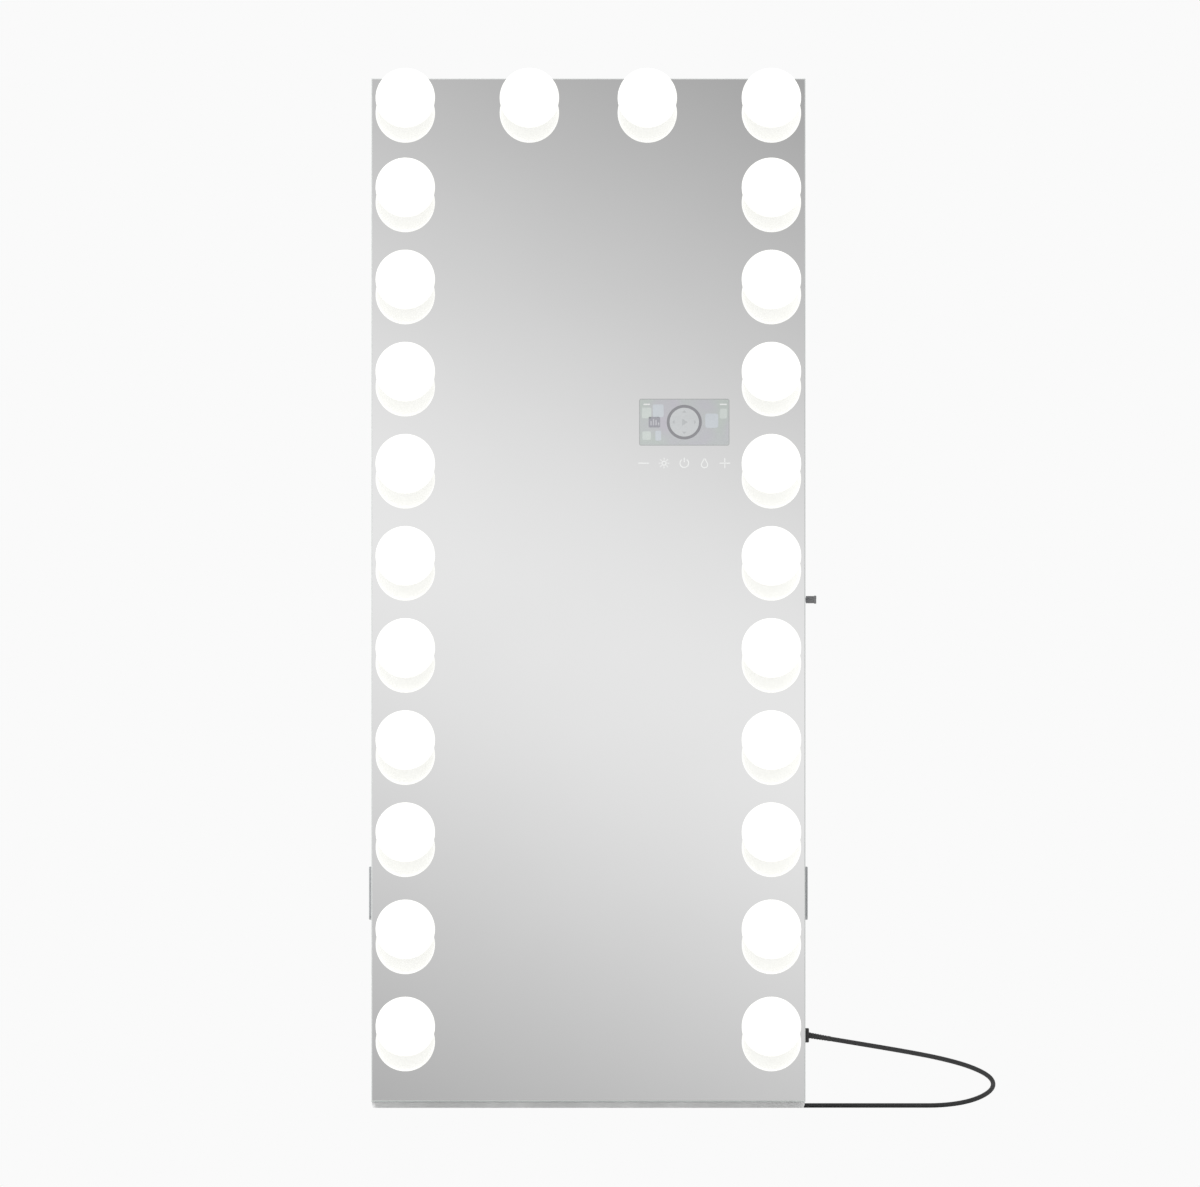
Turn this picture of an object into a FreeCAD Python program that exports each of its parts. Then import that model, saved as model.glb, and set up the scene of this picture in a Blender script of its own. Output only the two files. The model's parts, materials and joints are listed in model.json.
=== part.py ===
import FreeCAD, Part

import math
import os

from FreeCAD import Placement, Rotation, Vector

# A full-length lighted vanity mirror that leans back on a folding stand.
#
# Row frame, in millimetres: +X to the right of somebody who looks into the mirror, +Y behind
# the mirror, +Z up. The origin is the centre of the rubber strip's face on the floor.
#
# Panel frame: the mirror while it stands upright. x is the row's x, v is the depth behind the
# front of the glass and w is the height above its lower edge. leaned() turns a shape drawn
# there (x, v, w along X, Y, Z) back by the lean and puts it on the floor.

# Driving dimensions
WIDTH = 600.0
HEIGHT = 1440.0
LEAN = 11.0
GLASS = 5.0
TAPE = 1.0
DEPTH = 38.0
COVER = 1.0
REAR_EDGE_ABOVE_FLOOR = 2.0
GLOBE_RADIUS = 41.0
GLOBE_STAND_OFF = 55.0
COLUMN_X = 253.0
TOP_GLOBE_X = 81.5
TOP_ROW_W = 1402.0
TOP_ROW_PITCH = 126.0
ROW_PITCH = 129.7
LOW_ROW_PITCH = 136.8
UPPER_ROWS = 9
ROWS = 11

# Frame
RAIL_INSET = 1.0
RAIL_WALL = 1.6
RAIL_LIP = 12.0
BRACKET_ARM = 42.0
BRACKET_WALL = 3.0
BRACKET_WIDTH = 20.0
FOOT_FRONT_V = 12.0
FOOT_LENGTH = 596.0

# Lamps and lamp holders
HOLE_RADIUS = 20.5
SKIRT_RADIUS = 20.0
SKIRT_BORE = 18.5
FLANGE_RADIUS = 23.0
BARREL_RADIUS = 19.0
BARREL_BORE = 16.0
BARREL_END_V = 34.0
COLLAR_RADIUS = 25.0
COLLAR_THICKNESS = 4.0
GLOBE_WALL = 1.2
GLOBE_CUT_V = -18.0
CAP_RADIUS = 13.2
CAP_LENGTH = 22.0

# Screws
SCREW_RADIUS = 1.75
SCREW_HEAD_RADIUS = 3.5
SCREW_HEAD = 2.2
SCREW_LENGTH = 7.0
SCREW_INSET = 7.0
SIDE_SCREWS = 7
END_SCREWS = 4
END_SCREW_SPAN = 360.0

# Rear cover
KEYHOLE_X = 200.0
KEYHOLE_W = 1300.0
KEYHOLE_RADIUS = 5.0
KEYHOLE_SLOT = 5.0
KEYHOLE_RISE = 14.0
VENT_LENGTH = 40.0
VENT_WIDTH = 3.0
VENT_PITCH = 9.0
VENTS = 8
VENT_BANKS = ((-150.0, 250.0), (150.0, 250.0), (0.0, 1240.0))
CORNER_RADIUS = 4.0

# Controls, sound and power
DISPLAY_X = 132.6
DISPLAY_W = 956.0
DISPLAY_SIZE = (125.0, 66.0, 8.0)
KNOB_W = 710.0
KNOB_V = 20.0
KNOB_RADIUS = 5.0
KNOB_CAP_RADIUS = 5.6
KNOB_START_X = 300.6
KNOB_END_X = 315.0
KNOB_FLUTES = 20
SHAFT_RADIUS = 3.0
RUNNING_GAP = 0.05
SPEAKER_W = 297.0
SPEAKER_V = 21.5
GRILLE_LENGTH = 72.0
GRILLE_WIDTH = 22.0
GRILLE_OUTER_X = 303.2
GRILLE_SLOTS = 9
GRILLE_SLOT_PITCH = 6.4
GRILLE_SLOT_WIDTH = 2.6
GRILLE_SLOT_LENGTH = 13.0
GLAND_W = 97.0
GLAND_V = 22.0
GLAND_FLANGE_RADIUS = 10.0
GLAND_FLANGE_END_X = 305.0
GLAND_BARREL_RADIUS = 8.0
CORD_SLOPE = 9.5
RELIEF_LENGTH = 30.0
RELIEF_BASE_RADIUS = 4.2
RELIEF_TIP_RADIUS = 3.5
GROOVE_WIDTH = 1.2
GROOVE_DEPTH = 0.5
GROOVE_PITCH = 3.6
GROOVE_MARGIN = 4.0

# Stand
STAND_X = 170.0
PIVOT_W = 820.0
PIVOT_STAND_OFF = 13.0
LEG_ANGLE = 9.0
LEG_WIDTH = 20.0
LEG_DEPTH = 12.0
LEG_WALL = 1.2
EYE_RADIUS = 9.0
PIN_RADIUS = 3.0
BRACKET_BASE = 2.5
BRACKET_PLATE_X = 56.0
BRACKET_PLATE_W = 36.0
BRACKET_SCREW_X = 42.0
BRACKET_SCREW_W = 22.0
EAR_WIDTH = 20.0
EAR_GAP = 0.5
STOP_GAP = 0.3
FOOT_BAR_HEIGHT = 120.0
LEG_TOP = -18.0
LEG_END_GAP = 7.0

# Mains lead
CORD_DIAMETER = 6.4
FLOOR_Z = 3.3
COIL_CENTRE = (245.0, 145.0)
COIL_OUTER_TURN = 40.75
COIL_INNER_TURN = 27.75
COIL_LAST_TURN = 32.6
COIL_TOP_Z = 16.3
COIL_TURNS = 5.25
PLUG_START = (208.0, 219.0, 9.0)
PLUG_LENGTH = 50.0
PLUG_WIDTH = 24.0
PLUG_LOW_Z = 0.1
PLUG_HIGH_Z = 16.5
PLUG_RELIEF_LENGTH = 18.0
PLUG_RELIEF_RADIUS = 5.6
GRIP_START = 26.0
GRIP_PITCH = 3.0
GRIPS = 5
BLADE_LENGTH = 17.0
BLADE_WIDTH = 6.3
BLADE_THICKNESS = 1.5
BLADE_SPACING = 12.7
ARC_SHARE = 0.45

LEAN_SIN = math.sin(math.radians(LEAN))
LEAN_COS = math.cos(math.radians(LEAN))
COVER_V = DEPTH - COVER
RAIL_FRONT_V = GLASS + TAPE
FOOT_MIDDLE_V = (FOOT_FRONT_V + COVER_V) / 2
PANEL_Z = REAR_EDGE_ABOVE_FLOOR + DEPTH * LEAN_SIN
PANEL_Y = -(FOOT_MIDDLE_V * LEAN_COS + RAIL_INSET * LEAN_SIN)
RAIL_OUTER_X = WIDTH / 2 - RAIL_INSET
PIVOT_V = DEPTH + PIVOT_STAND_OFF

X_AXIS = Vector(1, 0, 0)
V_AXIS = Vector(0, 1, 0)
Y_AXIS = Vector(0, 1, 0)
Z_AXIS = Vector(0, 0, 1)
PANEL = Placement(Vector(0, PANEL_Y, PANEL_Z), Rotation(X_AXIS, -LEAN))


# ---------------------------------------------------------------- helpers

def leaned(shape):
    """The shape, drawn in the panel frame, in its place in the row frame."""
    moved = shape.copy()
    moved.Placement = PANEL.multiply(shape.Placement)
    return moved


def row_point(x, v, w):
    """The row frame's point for a point of the panel frame."""
    return PANEL.multVec(Vector(x, v, w))


def block(x_low, x_high, v_low, v_high, w_low, w_high):
    """A box between two corners."""
    corner = Vector(x_low, v_low, w_low)
    return Part.makeBox(x_high - x_low, v_high - v_low, w_high - w_low, corner)


def disc(radius, start, length, axis):
    """A cylinder from start along axis."""
    return Part.makeCylinder(radius, length, start, axis)


def mirrored(shape):
    """The same shape on the other side of the middle."""
    return shape.mirror(Vector(0, 0, 0), X_AXIS)


def fused(shapes):
    """The shapes as one solid."""
    first, *rest = shapes
    return first.multiFuse(rest).removeSplitter() if rest else first


def turned(outline, x=0.0, w=0.0):
    """A solid of revolution about the v axis through (x, w). The outline lists (v, radius)."""
    points = [Vector(radius, v, 0) for v, radius in outline]
    face = Part.Face(Part.makePolygon(points + points[:1]))
    solid = face.revolve(Vector(0, 0, 0), V_AXIS, 360)
    solid.translate(Vector(x, 0, w))
    return solid


def ring_block(half_width, low_w, high_w, band, v_low, v_high):
    """A rectangular ring of the given band width."""
    outer = block(-half_width, half_width, v_low, v_high, low_w, high_w)
    inside = half_width - band
    inner = block(-inside, inside, v_low, v_high, low_w + band, high_w - band)
    return outer.cut(inner)


def arc_through(corner, before, after, share):
    """A tangent arc that rounds a corner, with its two ends and its radius."""
    to_before = before - corner
    to_after = after - corner
    reach = share * min(to_before.Length, to_after.Length)
    turn = math.pi - to_before.getAngle(to_after)
    radius = reach / math.tan(turn / 2)
    start = corner + Vector(to_before).normalize() * reach
    end = corner + Vector(to_after).normalize() * reach
    inward = (start + end) * 0.5 - corner
    sagitta_point = corner + inward.normalize() * (radius / math.cos(turn / 2) - radius)
    return start, sagitta_point, end, radius


def rounded_path(points, share=ARC_SHARE):
    """A wire of straight runs joined by tangent arcs, and the arcs' radii."""
    edges = []
    radii = []
    last = points[0]
    for before, corner, after in zip(points, points[1:], points[2:]):
        start, middle, end, radius = arc_through(corner, before, after, share)
        edges.append(Part.LineSegment(last, start).toShape())
        edges.append(Part.Arc(start, middle, end).toShape())
        radii.append(radius)
        last = end
    edges.append(Part.LineSegment(last, points[-1]).toShape())
    return Part.Wire(edges), radii


def tube_along(points, diameter, share=ARC_SHARE):
    """A round solid along a path of runs and arcs, with the path's length and its radii."""
    path, radii = rounded_path(points, share)
    direction = points[1] - points[0]
    circle = Part.Wire(Part.makeCircle(diameter / 2, points[0], direction))
    return path.makePipeShell([circle], True, True), path.Length, radii


def slot_cutter(centre_x, centre_w, length, width, v_low, v_high):
    """A round-ended slot along x, cut through from v_low to v_high."""
    half = (length - width) / 2
    low_x = centre_x - half
    high_x = centre_x + half
    low_w = centre_w - width / 2
    middle = block(low_x, high_x, v_low, v_high, low_w, low_w + width)
    ends = [disc(width / 2, Vector(x, v_low, centre_w), v_high - v_low, V_AXIS) for x in (low_x, high_x)]
    return fused([middle] + ends)


def group(solids):
    """Separate solids that share one node."""
    return Part.makeCompound(solids)


# ---------------------------------------------------------------- lamp places

def row_height(row):
    """The height of a lamp row, with the top row as 0."""
    if row == 0:
        return TOP_ROW_W
    upper = min(row, UPPER_ROWS - 1)
    return TOP_ROW_W - TOP_ROW_PITCH - (upper - 1) * ROW_PITCH - (row - upper) * LOW_ROW_PITCH


def lamp_places():
    """Each lamp's name and its (x, w) on the glass."""
    places = {}
    for row in range(ROWS):
        places[f"bulb_left_{row + 1:02d}"] = (-COLUMN_X, row_height(row))
        places[f"bulb_right_{row + 1:02d}"] = (COLUMN_X, row_height(row))
    places["bulb_top_1"] = (-TOP_GLOBE_X, TOP_ROW_W)
    places["bulb_top_2"] = (TOP_GLOBE_X, TOP_ROW_W)
    return places


LAMPS = lamp_places()


# ---------------------------------------------------------------- glass and frame

def mirror_glass():
    """The silvered glass, with a polished chamfer in front and a hole for each lamp."""
    polish = 1.2
    sheet = block(-WIDTH / 2, WIDTH / 2, 0, GLASS, 0, HEIGHT)
    front = [edge for edge in sheet.Edges if edge.BoundBox.YMax < polish]
    sheet = sheet.makeChamfer(polish, front)
    holes = [disc(HOLE_RADIUS, Vector(x, 0, w), GLASS, V_AXIS) for x, w in LAMPS.values()]
    return sheet.cut(group(holes))


def glass_tape():
    """The foam tape between the glass and the frame's front lip."""
    high = HEIGHT - RAIL_INSET
    return ring_block(RAIL_OUTER_X, RAIL_INSET, high, RAIL_LIP, GLASS, RAIL_FRONT_V)


def whole_frame():
    """The four channels as one ring, open towards the inside."""
    low = RAIL_INSET
    high = HEIGHT - RAIL_INSET
    web = ring_block(RAIL_OUTER_X, low, high, RAIL_WALL, RAIL_FRONT_V, COVER_V)
    front = ring_block(RAIL_OUTER_X, low, high, RAIL_LIP, RAIL_FRONT_V, RAIL_FRONT_V + RAIL_WALL)
    rear = ring_block(RAIL_OUTER_X, low, high, RAIL_LIP, COVER_V - RAIL_WALL, COVER_V)
    return fused([web, front, rear])


def mitre_prism(corners):
    """A prism through the frame's depth over an (x, w) outline."""
    points = [Vector(x, 0, w) for x, w in corners]
    face = Part.Face(Part.makePolygon(points + points[:1]))
    return face.extrude(Vector(0, DEPTH, 0))


def side_zone():
    """What of the frame belongs to the right-hand rail."""
    reach = 2 * RAIL_LIP
    low = RAIL_INSET
    high = HEIGHT - RAIL_INSET
    inner = RAIL_OUTER_X - reach
    outer_side = [(RAIL_OUTER_X, low), (RAIL_OUTER_X, high)]
    inner_side = [(inner, high - reach), (inner, low + reach)]
    return mitre_prism(outer_side + inner_side)


def end_zone(edge_w, inward):
    """What of the frame belongs to the top rail, or to the bottom one."""
    reach = 2 * RAIL_LIP
    inner_w = edge_w + inward * reach
    inner_x = RAIL_OUTER_X - reach
    outer_side = [(-RAIL_OUTER_X, edge_w), (RAIL_OUTER_X, edge_w)]
    return mitre_prism(outer_side + [(inner_x, inner_w), (-inner_x, inner_w)])


def screw_places():
    """Each cover screw's (x, w), all round the rear lip."""
    side_x = RAIL_OUTER_X - SCREW_INSET
    low = RAIL_INSET + 4 * SCREW_INSET
    high = HEIGHT - low
    places = []
    for step in range(SIDE_SCREWS):
        w = low + (high - low) * step / (SIDE_SCREWS - 1)
        places += [(-side_x, w), (side_x, w)]
    for step in range(END_SCREWS):
        x = END_SCREW_SPAN * (step / (END_SCREWS - 1) - 0.5)
        places += [(x, RAIL_INSET + SCREW_INSET), (x, HEIGHT - RAIL_INSET - SCREW_INSET)]
    return places


def pilot_holes(gap):
    """Cutters for the screws' shanks through the rear lip and the cover."""
    start = COVER_V - RAIL_WALL
    length = DEPTH - start
    return [disc(SCREW_RADIUS + gap, Vector(x, start, w), length, V_AXIS) for x, w in screw_places()]


def speaker_opening():
    """The right-hand rail's opening behind a speaker grille."""
    half_length = GRILLE_LENGTH / 2 - 6
    half_width = GRILLE_WIDTH / 2 - 4
    inner_x = RAIL_OUTER_X - RAIL_WALL
    return block(
        inner_x, RAIL_OUTER_X,
        SPEAKER_V - half_width, SPEAKER_V + half_width,
        SPEAKER_W - half_length, SPEAKER_W + half_length,
    )


def frame_rails():
    """The four rails, cut apart at their mitres, with their holes."""
    frame = whole_frame().cut(group(pilot_holes(RUNNING_GAP)))
    right = frame.common(side_zone())
    left = frame.common(mirrored(side_zone()))
    inner_x = RAIL_OUTER_X - RAIL_WALL
    gland_hole = disc(GLAND_BARREL_RADIUS, Vector(inner_x, GLAND_V, GLAND_W), RAIL_WALL, X_AXIS)
    bush_hole = disc(SHAFT_RADIUS + 1.0, Vector(inner_x, KNOB_V, KNOB_W), RAIL_WALL, X_AXIS)
    return {
        "frame_rail_left": left.cut(mirrored(speaker_opening())),
        "frame_rail_right": right.cut(group([speaker_opening(), gland_hole, bush_hole])),
        "frame_rail_top": frame.common(end_zone(HEIGHT - RAIL_INSET, -1)),
        "frame_rail_bottom": frame.common(end_zone(RAIL_INSET, 1)),
    }


def corner_angle(side, edge_w, inward):
    """One angle bracket inside a corner of the frame."""
    corner_x = side * (RAIL_OUTER_X - RAIL_WALL)
    corner_w = edge_w + inward * RAIL_WALL
    v_low = (RAIL_FRONT_V + COVER_V - BRACKET_WIDTH) / 2
    v_high = v_low + BRACKET_WIDTH
    along_x = sorted((corner_x, corner_x - side * BRACKET_ARM))
    along_w = sorted((corner_w, corner_w + inward * BRACKET_ARM))
    thin_x = sorted((corner_x, corner_x - side * BRACKET_WALL))
    thin_w = sorted((corner_w, corner_w + inward * BRACKET_WALL))
    flat_arm = block(*along_x, v_low, v_high, *thin_w)
    tall_arm = block(*thin_x, v_low, v_high, *along_w)
    return fused([flat_arm, tall_arm])


def frame_corner_brackets():
    """The four angle brackets."""
    ends = ((RAIL_INSET, 1), (HEIGHT - RAIL_INSET, -1))
    return group([corner_angle(side, w, inward) for side in (-1, 1) for w, inward in ends])


def keyhole(side):
    """A cutter for one keyhole: a round mouth and a narrow rise above it."""
    x = side * KEYHOLE_X
    mouth = disc(KEYHOLE_RADIUS, Vector(x, COVER_V, KEYHOLE_W), COVER, V_AXIS)
    top_w = KEYHOLE_W + KEYHOLE_RISE
    half = KEYHOLE_SLOT / 2
    rise = block(x - half, x + half, COVER_V, DEPTH, KEYHOLE_W, top_w)
    end = disc(half, Vector(x, COVER_V, top_w), COVER, V_AXIS)
    return fused([mouth, rise, end])


def vent_cutters():
    """The banks of vent slots: two low down and one near the top."""
    cutters = []
    for bank_x, bank_w in VENT_BANKS:
        for step in range(VENTS):
            slot_w = bank_w + step * VENT_PITCH
            cutters.append(slot_cutter(bank_x, slot_w, VENT_LENGTH, VENT_WIDTH, COVER_V, DEPTH))
    return cutters


def rear_cover():
    """The sheet cover on the back, with rounded corners."""
    inset = RAIL_INSET + 0.5
    half = WIDTH / 2 - inset
    sheet = block(-half, half, COVER_V, DEPTH, inset, HEIGHT - inset)
    corners = [edge for edge in sheet.Edges if abs(edge.tangentAt(0).y) > 0.9]
    sheet = sheet.makeFillet(CORNER_RADIUS, corners)
    shank_hole = SCREW_RADIUS + RUNNING_GAP
    cutters = [keyhole(-1), keyhole(1)] + vent_cutters() + pilot_holes(RUNNING_GAP)
    cutters += [disc(shank_hole, start, COVER, V_AXIS) for start in bracket_screw_starts(COVER_V)]
    return sheet.cut(group(cutters))


def screw(x, w, seat_v):
    """A pan head screw driven towards the glass, with a cross recess."""
    head_end = seat_v + SCREW_HEAD
    outline = [
        (seat_v - SCREW_LENGTH, 0),
        (seat_v - SCREW_LENGTH, 0.6),
        (seat_v - SCREW_LENGTH + 1.6, SCREW_RADIUS),
        (seat_v, SCREW_RADIUS),
        (seat_v, SCREW_HEAD_RADIUS),
        (seat_v + 0.55 * SCREW_HEAD, SCREW_HEAD_RADIUS),
        (head_end, 0.55 * SCREW_HEAD_RADIUS),
        (head_end, 0),
    ]
    solid = turned(outline, x, w)
    arm = 1.5
    half = 0.4
    low = head_end - 1.2
    across = block(x - arm, x + arm, low, head_end, w - half, w + half)
    upright = block(x - half, x + half, low, head_end, w - arm, w + arm)
    return solid.cut(fused([across, upright]))


def screws():
    """The screws of the cover and of the two hinge brackets."""
    cover = [screw(x, w, DEPTH) for x, w in screw_places()]
    seat = DEPTH + BRACKET_BASE
    hinge = [screw(start.x, start.z, seat) for start in bracket_screw_starts(seat)]
    return group(cover + hinge)


def foot_strip():
    """The rubber strip under the housing: it follows the lean above and is flat below."""
    front = row_point(0, FOOT_FRONT_V, RAIL_INSET)
    back = row_point(0, COVER_V, RAIL_INSET)
    half = FOOT_LENGTH / 2
    corners = [(front.y, front.z), (back.y, back.z), (back.y, 0.0), (front.y, 0.0)]
    points = [Vector(-half, y, z) for y, z in corners]
    face = Part.Face(Part.makePolygon(points + points[:1]))
    strip = face.extrude(Vector(FOOT_LENGTH, 0, 0))
    uprights = [edge for edge in strip.Edges if abs(edge.tangentAt(0).z) > 0.9]
    return strip.makeFillet(CORNER_RADIUS, uprights)


# ---------------------------------------------------------------- lamps

def globe(x, w):
    """A frosted hollow globe, open where it meets its neck."""
    centre = Vector(x, -GLOBE_STAND_OFF, w)
    outer = Part.makeSphere(GLOBE_RADIUS, centre)
    inner = Part.makeSphere(GLOBE_RADIUS - GLOBE_WALL, centre)
    open_end = block(
        x - GLOBE_RADIUS, x + GLOBE_RADIUS,
        GLOBE_CUT_V, GLOBE_CUT_V + GLOBE_RADIUS,
        w - GLOBE_RADIUS, w + GLOBE_RADIUS,
    )
    return outer.cut(inner).cut(open_end)


def neck(x, w):
    """A lamp's neck, with the plate that carries its light-emitting diodes on top."""
    to_cut = GLOBE_STAND_OFF + GLOBE_CUT_V
    rim = math.sqrt(GLOBE_RADIUS ** 2 - to_cut ** 2)
    plate = 12.5
    outline = [
        (GLOBE_CUT_V - 1.6, 0),
        (GLOBE_CUT_V - 1.6, plate),
        (GLOBE_CUT_V, plate),
        (GLOBE_CUT_V, rim),
        (GLOBE_CUT_V + 3, rim),
        (-3.0, 14.8),
        (0, CAP_RADIUS),
        (0, 0),
    ]
    return turned(outline, x, w)


def screw_cap(x, w):
    """A lamp's metal screw cap with its rolled thread and centre contact."""
    crests = 5
    pitch = (CAP_LENGTH - 6) / crests
    outline = [(0, 0), (0, CAP_RADIUS - 0.2)]
    for turn in range(crests):
        start = 2 + turn * pitch
        outline += [(start, CAP_RADIUS - 1.0), (start + pitch / 2, CAP_RADIUS)]
    contact_end = CAP_LENGTH + 2
    outline += [(CAP_LENGTH - 3, CAP_RADIUS - 1.0), (CAP_LENGTH, 6.0), (contact_end, 4.0), (contact_end, 0)]
    return turned(outline, x, w)


def socket_body(x, w):
    """A lamp holder: a skirt through the glass, a flange behind it and a closed barrel."""
    front = -COLLAR_THICKNESS + 1
    floor_v = BARREL_END_V - 4
    outline = [
        (front, SKIRT_BORE),
        (front, SKIRT_RADIUS),
        (GLASS, SKIRT_RADIUS),
        (GLASS, FLANGE_RADIUS),
        (GLASS + 3, FLANGE_RADIUS),
        (GLASS + 3, BARREL_RADIUS),
        (BARREL_END_V, BARREL_RADIUS),
        (BARREL_END_V, 0),
        (floor_v, 0),
        (floor_v, BARREL_BORE),
        (GLASS, BARREL_BORE),
        (GLASS - 2, SKIRT_BORE),
    ]
    return turned(outline, x, w)


def socket_collar(x, w):
    """The ring that clamps the glass from the front, with a rounded outer edge."""
    inner = SKIRT_RADIUS + RUNNING_GAP
    outline = [
        (0, inner),
        (0, COLLAR_RADIUS),
        (-COLLAR_THICKNESS + 1.2, COLLAR_RADIUS),
        (-COLLAR_THICKNESS + 0.35, COLLAR_RADIUS - 0.35),
        (-COLLAR_THICKNESS, COLLAR_RADIUS - 1.2),
        (-COLLAR_THICKNESS, inner),
    ]
    return turned(outline, x, w)


def at_each_lamp(make):
    """One solid per lamp, in one node."""
    return group([make(x, w) for x, w in LAMPS.values()])


# ---------------------------------------------------------------- controls, sound and power

def display_module():
    """The touch display, bonded behind its clear window in the glass."""
    width, height, depth = DISPLAY_SIZE
    x = DISPLAY_X - width / 2
    w = DISPLAY_W - height / 2
    body = block(x, x + width, GLASS, GLASS + depth, w, w + height)
    edges = [edge for edge in body.Edges if abs(edge.tangentAt(0).y) > 0.9]
    body = body.makeFillet(3.0, edges)
    back = GLASS + depth
    socket = block(DISPLAY_X - 12, DISPLAY_X + 12, back, back + 5, DISPLAY_W - 4, DISPLAY_W + 4)
    return fused([body, socket])


def control_board():
    """The circuit board on its four stand-offs, with its heat sink and connectors."""
    low_x, high_x = 40.0, 160.0
    low_w, high_w = 620.0, 700.0
    board_v = 28.0
    board = 1.6
    parts = [block(low_x, high_x, board_v, board_v + board, low_w, high_w)]
    for x in (low_x + 6, high_x - 6):
        for w in (low_w + 6, high_w - 6):
            parts.append(disc(3.0, Vector(x, board_v + board, w), COVER_V - board_v - board, V_AXIS))
    for fin in range(6):
        fin_x = low_x + 20 + fin * 5
        parts.append(block(fin_x, fin_x + 2, board_v - 14, board_v - 2, low_w + 22, high_w - 22))
    parts.append(block(low_x + 18, low_x + 49, board_v - 2, board_v, low_w + 22, high_w - 22))
    for step in range(3):
        plug_w = low_w + 14 + step * 22
        parts.append(block(high_x - 16, high_x - 4, board_v - 8, board_v, plug_w, plug_w + 10))
    parts.append(disc(6.0, Vector(high_x - 36, board_v - 14, low_w + 18), 14, V_AXIS))
    return fused(parts)


def led_driver():
    """The power supply's case, with its mounting tabs and terminal cover."""
    low_x, high_x = -40.0, 150.0
    low_w, high_w = 36.0, 86.0
    case = block(low_x, high_x, 12.0, COVER_V, low_w, high_w)
    front = [edge for edge in case.Edges if edge.BoundBox.YMax < 13]
    long_edges = [edge for edge in front if abs(edge.tangentAt(0).x) > 0.9]
    case = case.makeFillet(3.0, long_edges)
    tabs = block(low_x - 14, high_x + 14, COVER_V - 2, COVER_V, low_w + 10, high_w - 10)
    holes = [disc(2.5, Vector(x, COVER_V - 2, 61), 2, V_AXIS) for x in (low_x - 7, high_x + 7)]
    ribs = [block(x, x + 2, 11.0, 12.0, low_w + 8, high_w - 8) for x in range(-20, 120, 8)]
    return fused([case, tabs] + ribs).cut(group(holes))


def wiring_harness():
    """The loom: up one column of lamp holders, across the top and down the other."""
    radius = 2.0
    beside = 9.5
    clear = 0.3
    x = COLUMN_X - BARREL_RADIUS - beside
    v = 25.0
    below = 12.0
    top_w = TOP_ROW_W - BARREL_RADIUS - below
    driver_w = 61.0
    corners = [
        Vector(-x, v, row_height(ROWS - 1)),
        Vector(-x, v, top_w),
        Vector(x, v, top_w),
        Vector(x, v, driver_w),
        Vector(150.0 + clear, v, driver_w),
    ]
    loom, _, _ = tube_along(corners, 2 * radius, 0.04)
    branches = []
    for side in (-1, 1):
        outward = Vector(side, 0, 0)
        for row in range(1, ROWS):
            branches.append(disc(radius, Vector(side * x, v, row_height(row)), beside - clear, outward))
        branches.append(disc(radius, Vector(side * TOP_GLOBE_X, v, top_w), below - clear, Z_AXIS))
    board_x = 160.0 + clear
    branches.append(disc(radius, Vector(board_x, v, 650.0), x - board_x, X_AXIS))
    return fused([loom] + branches)


def speaker_grille():
    """The right-hand grille: a rounded bar with sound slots."""
    low_x = RAIL_OUTER_X
    body = block(
        low_x, GRILLE_OUTER_X,
        SPEAKER_V - GRILLE_WIDTH / 2, SPEAKER_V + GRILLE_WIDTH / 2,
        SPEAKER_W - GRILLE_LENGTH / 2, SPEAKER_W + GRILLE_LENGTH / 2,
    )
    corners = [edge for edge in body.Edges if abs(edge.tangentAt(0).x) > 0.9]
    body = body.makeFillet(CORNER_RADIUS, corners)
    rim = [edge for edge in body.Edges if edge.BoundBox.XMin > GRILLE_OUTER_X - 0.1]
    body = body.makeFillet(1.4, rim)
    slots = []
    v_low = SPEAKER_V - GRILLE_SLOT_LENGTH / 2
    v_high = SPEAKER_V + GRILLE_SLOT_LENGTH / 2
    for step in range(GRILLE_SLOTS):
        w_low = SPEAKER_W + (step - (GRILLE_SLOTS - 1) / 2) * GRILLE_SLOT_PITCH - GRILLE_SLOT_WIDTH / 2
        slots.append(block(low_x, GRILLE_OUTER_X, v_low, v_high, w_low, w_low + GRILLE_SLOT_WIDTH))
    return body.cut(group(slots))


def speaker_driver():
    """The right-hand loudspeaker: its basket against the rail, its cone and its magnet."""
    face_x = RAIL_OUTER_X - RAIL_WALL
    basket = block(face_x - 4, face_x, SPEAKER_V - 11, SPEAKER_V + 11, SPEAKER_W - 34, SPEAKER_W + 34)
    bowl_start = Vector(face_x - 4, SPEAKER_V, SPEAKER_W)
    bowl = Part.makeCone(10.5, 8.0, 8, bowl_start, Vector(-1, 0, 0))
    magnet = disc(9.5, Vector(face_x - 12, SPEAKER_V, SPEAKER_W), 8, Vector(-1, 0, 0))
    hollow = Part.makeCone(9.0, 4.0, 7, Vector(face_x, SPEAKER_V, SPEAKER_W), Vector(-1, 0, 0))
    return fused([basket, bowl, magnet]).cut(hollow)


def dimmer_switch():
    """The rotary dimmer's body inside the rail, with its bush through the web."""
    face_x = RAIL_OUTER_X - RAIL_WALL
    body = block(face_x - 11, face_x, KNOB_V - 8, KNOB_V + 8, KNOB_W - 8, KNOB_W + 8)
    bush = disc(SHAFT_RADIUS + 1.0 - 0.02, Vector(face_x, KNOB_V, KNOB_W), RAIL_WALL + 1.0, X_AXIS)
    pins = []
    for step in (-5, 0, 5):
        low_w = KNOB_W + step - 0.6
        pins.append(block(face_x - 20, face_x - 11, KNOB_V - 1, KNOB_V + 1, low_w, low_w + 1.2))
    bore = disc(SHAFT_RADIUS + RUNNING_GAP, Vector(face_x - 8, KNOB_V, KNOB_W), 12, X_AXIS)
    return fused([body, bush] + pins).cut(bore)


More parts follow.
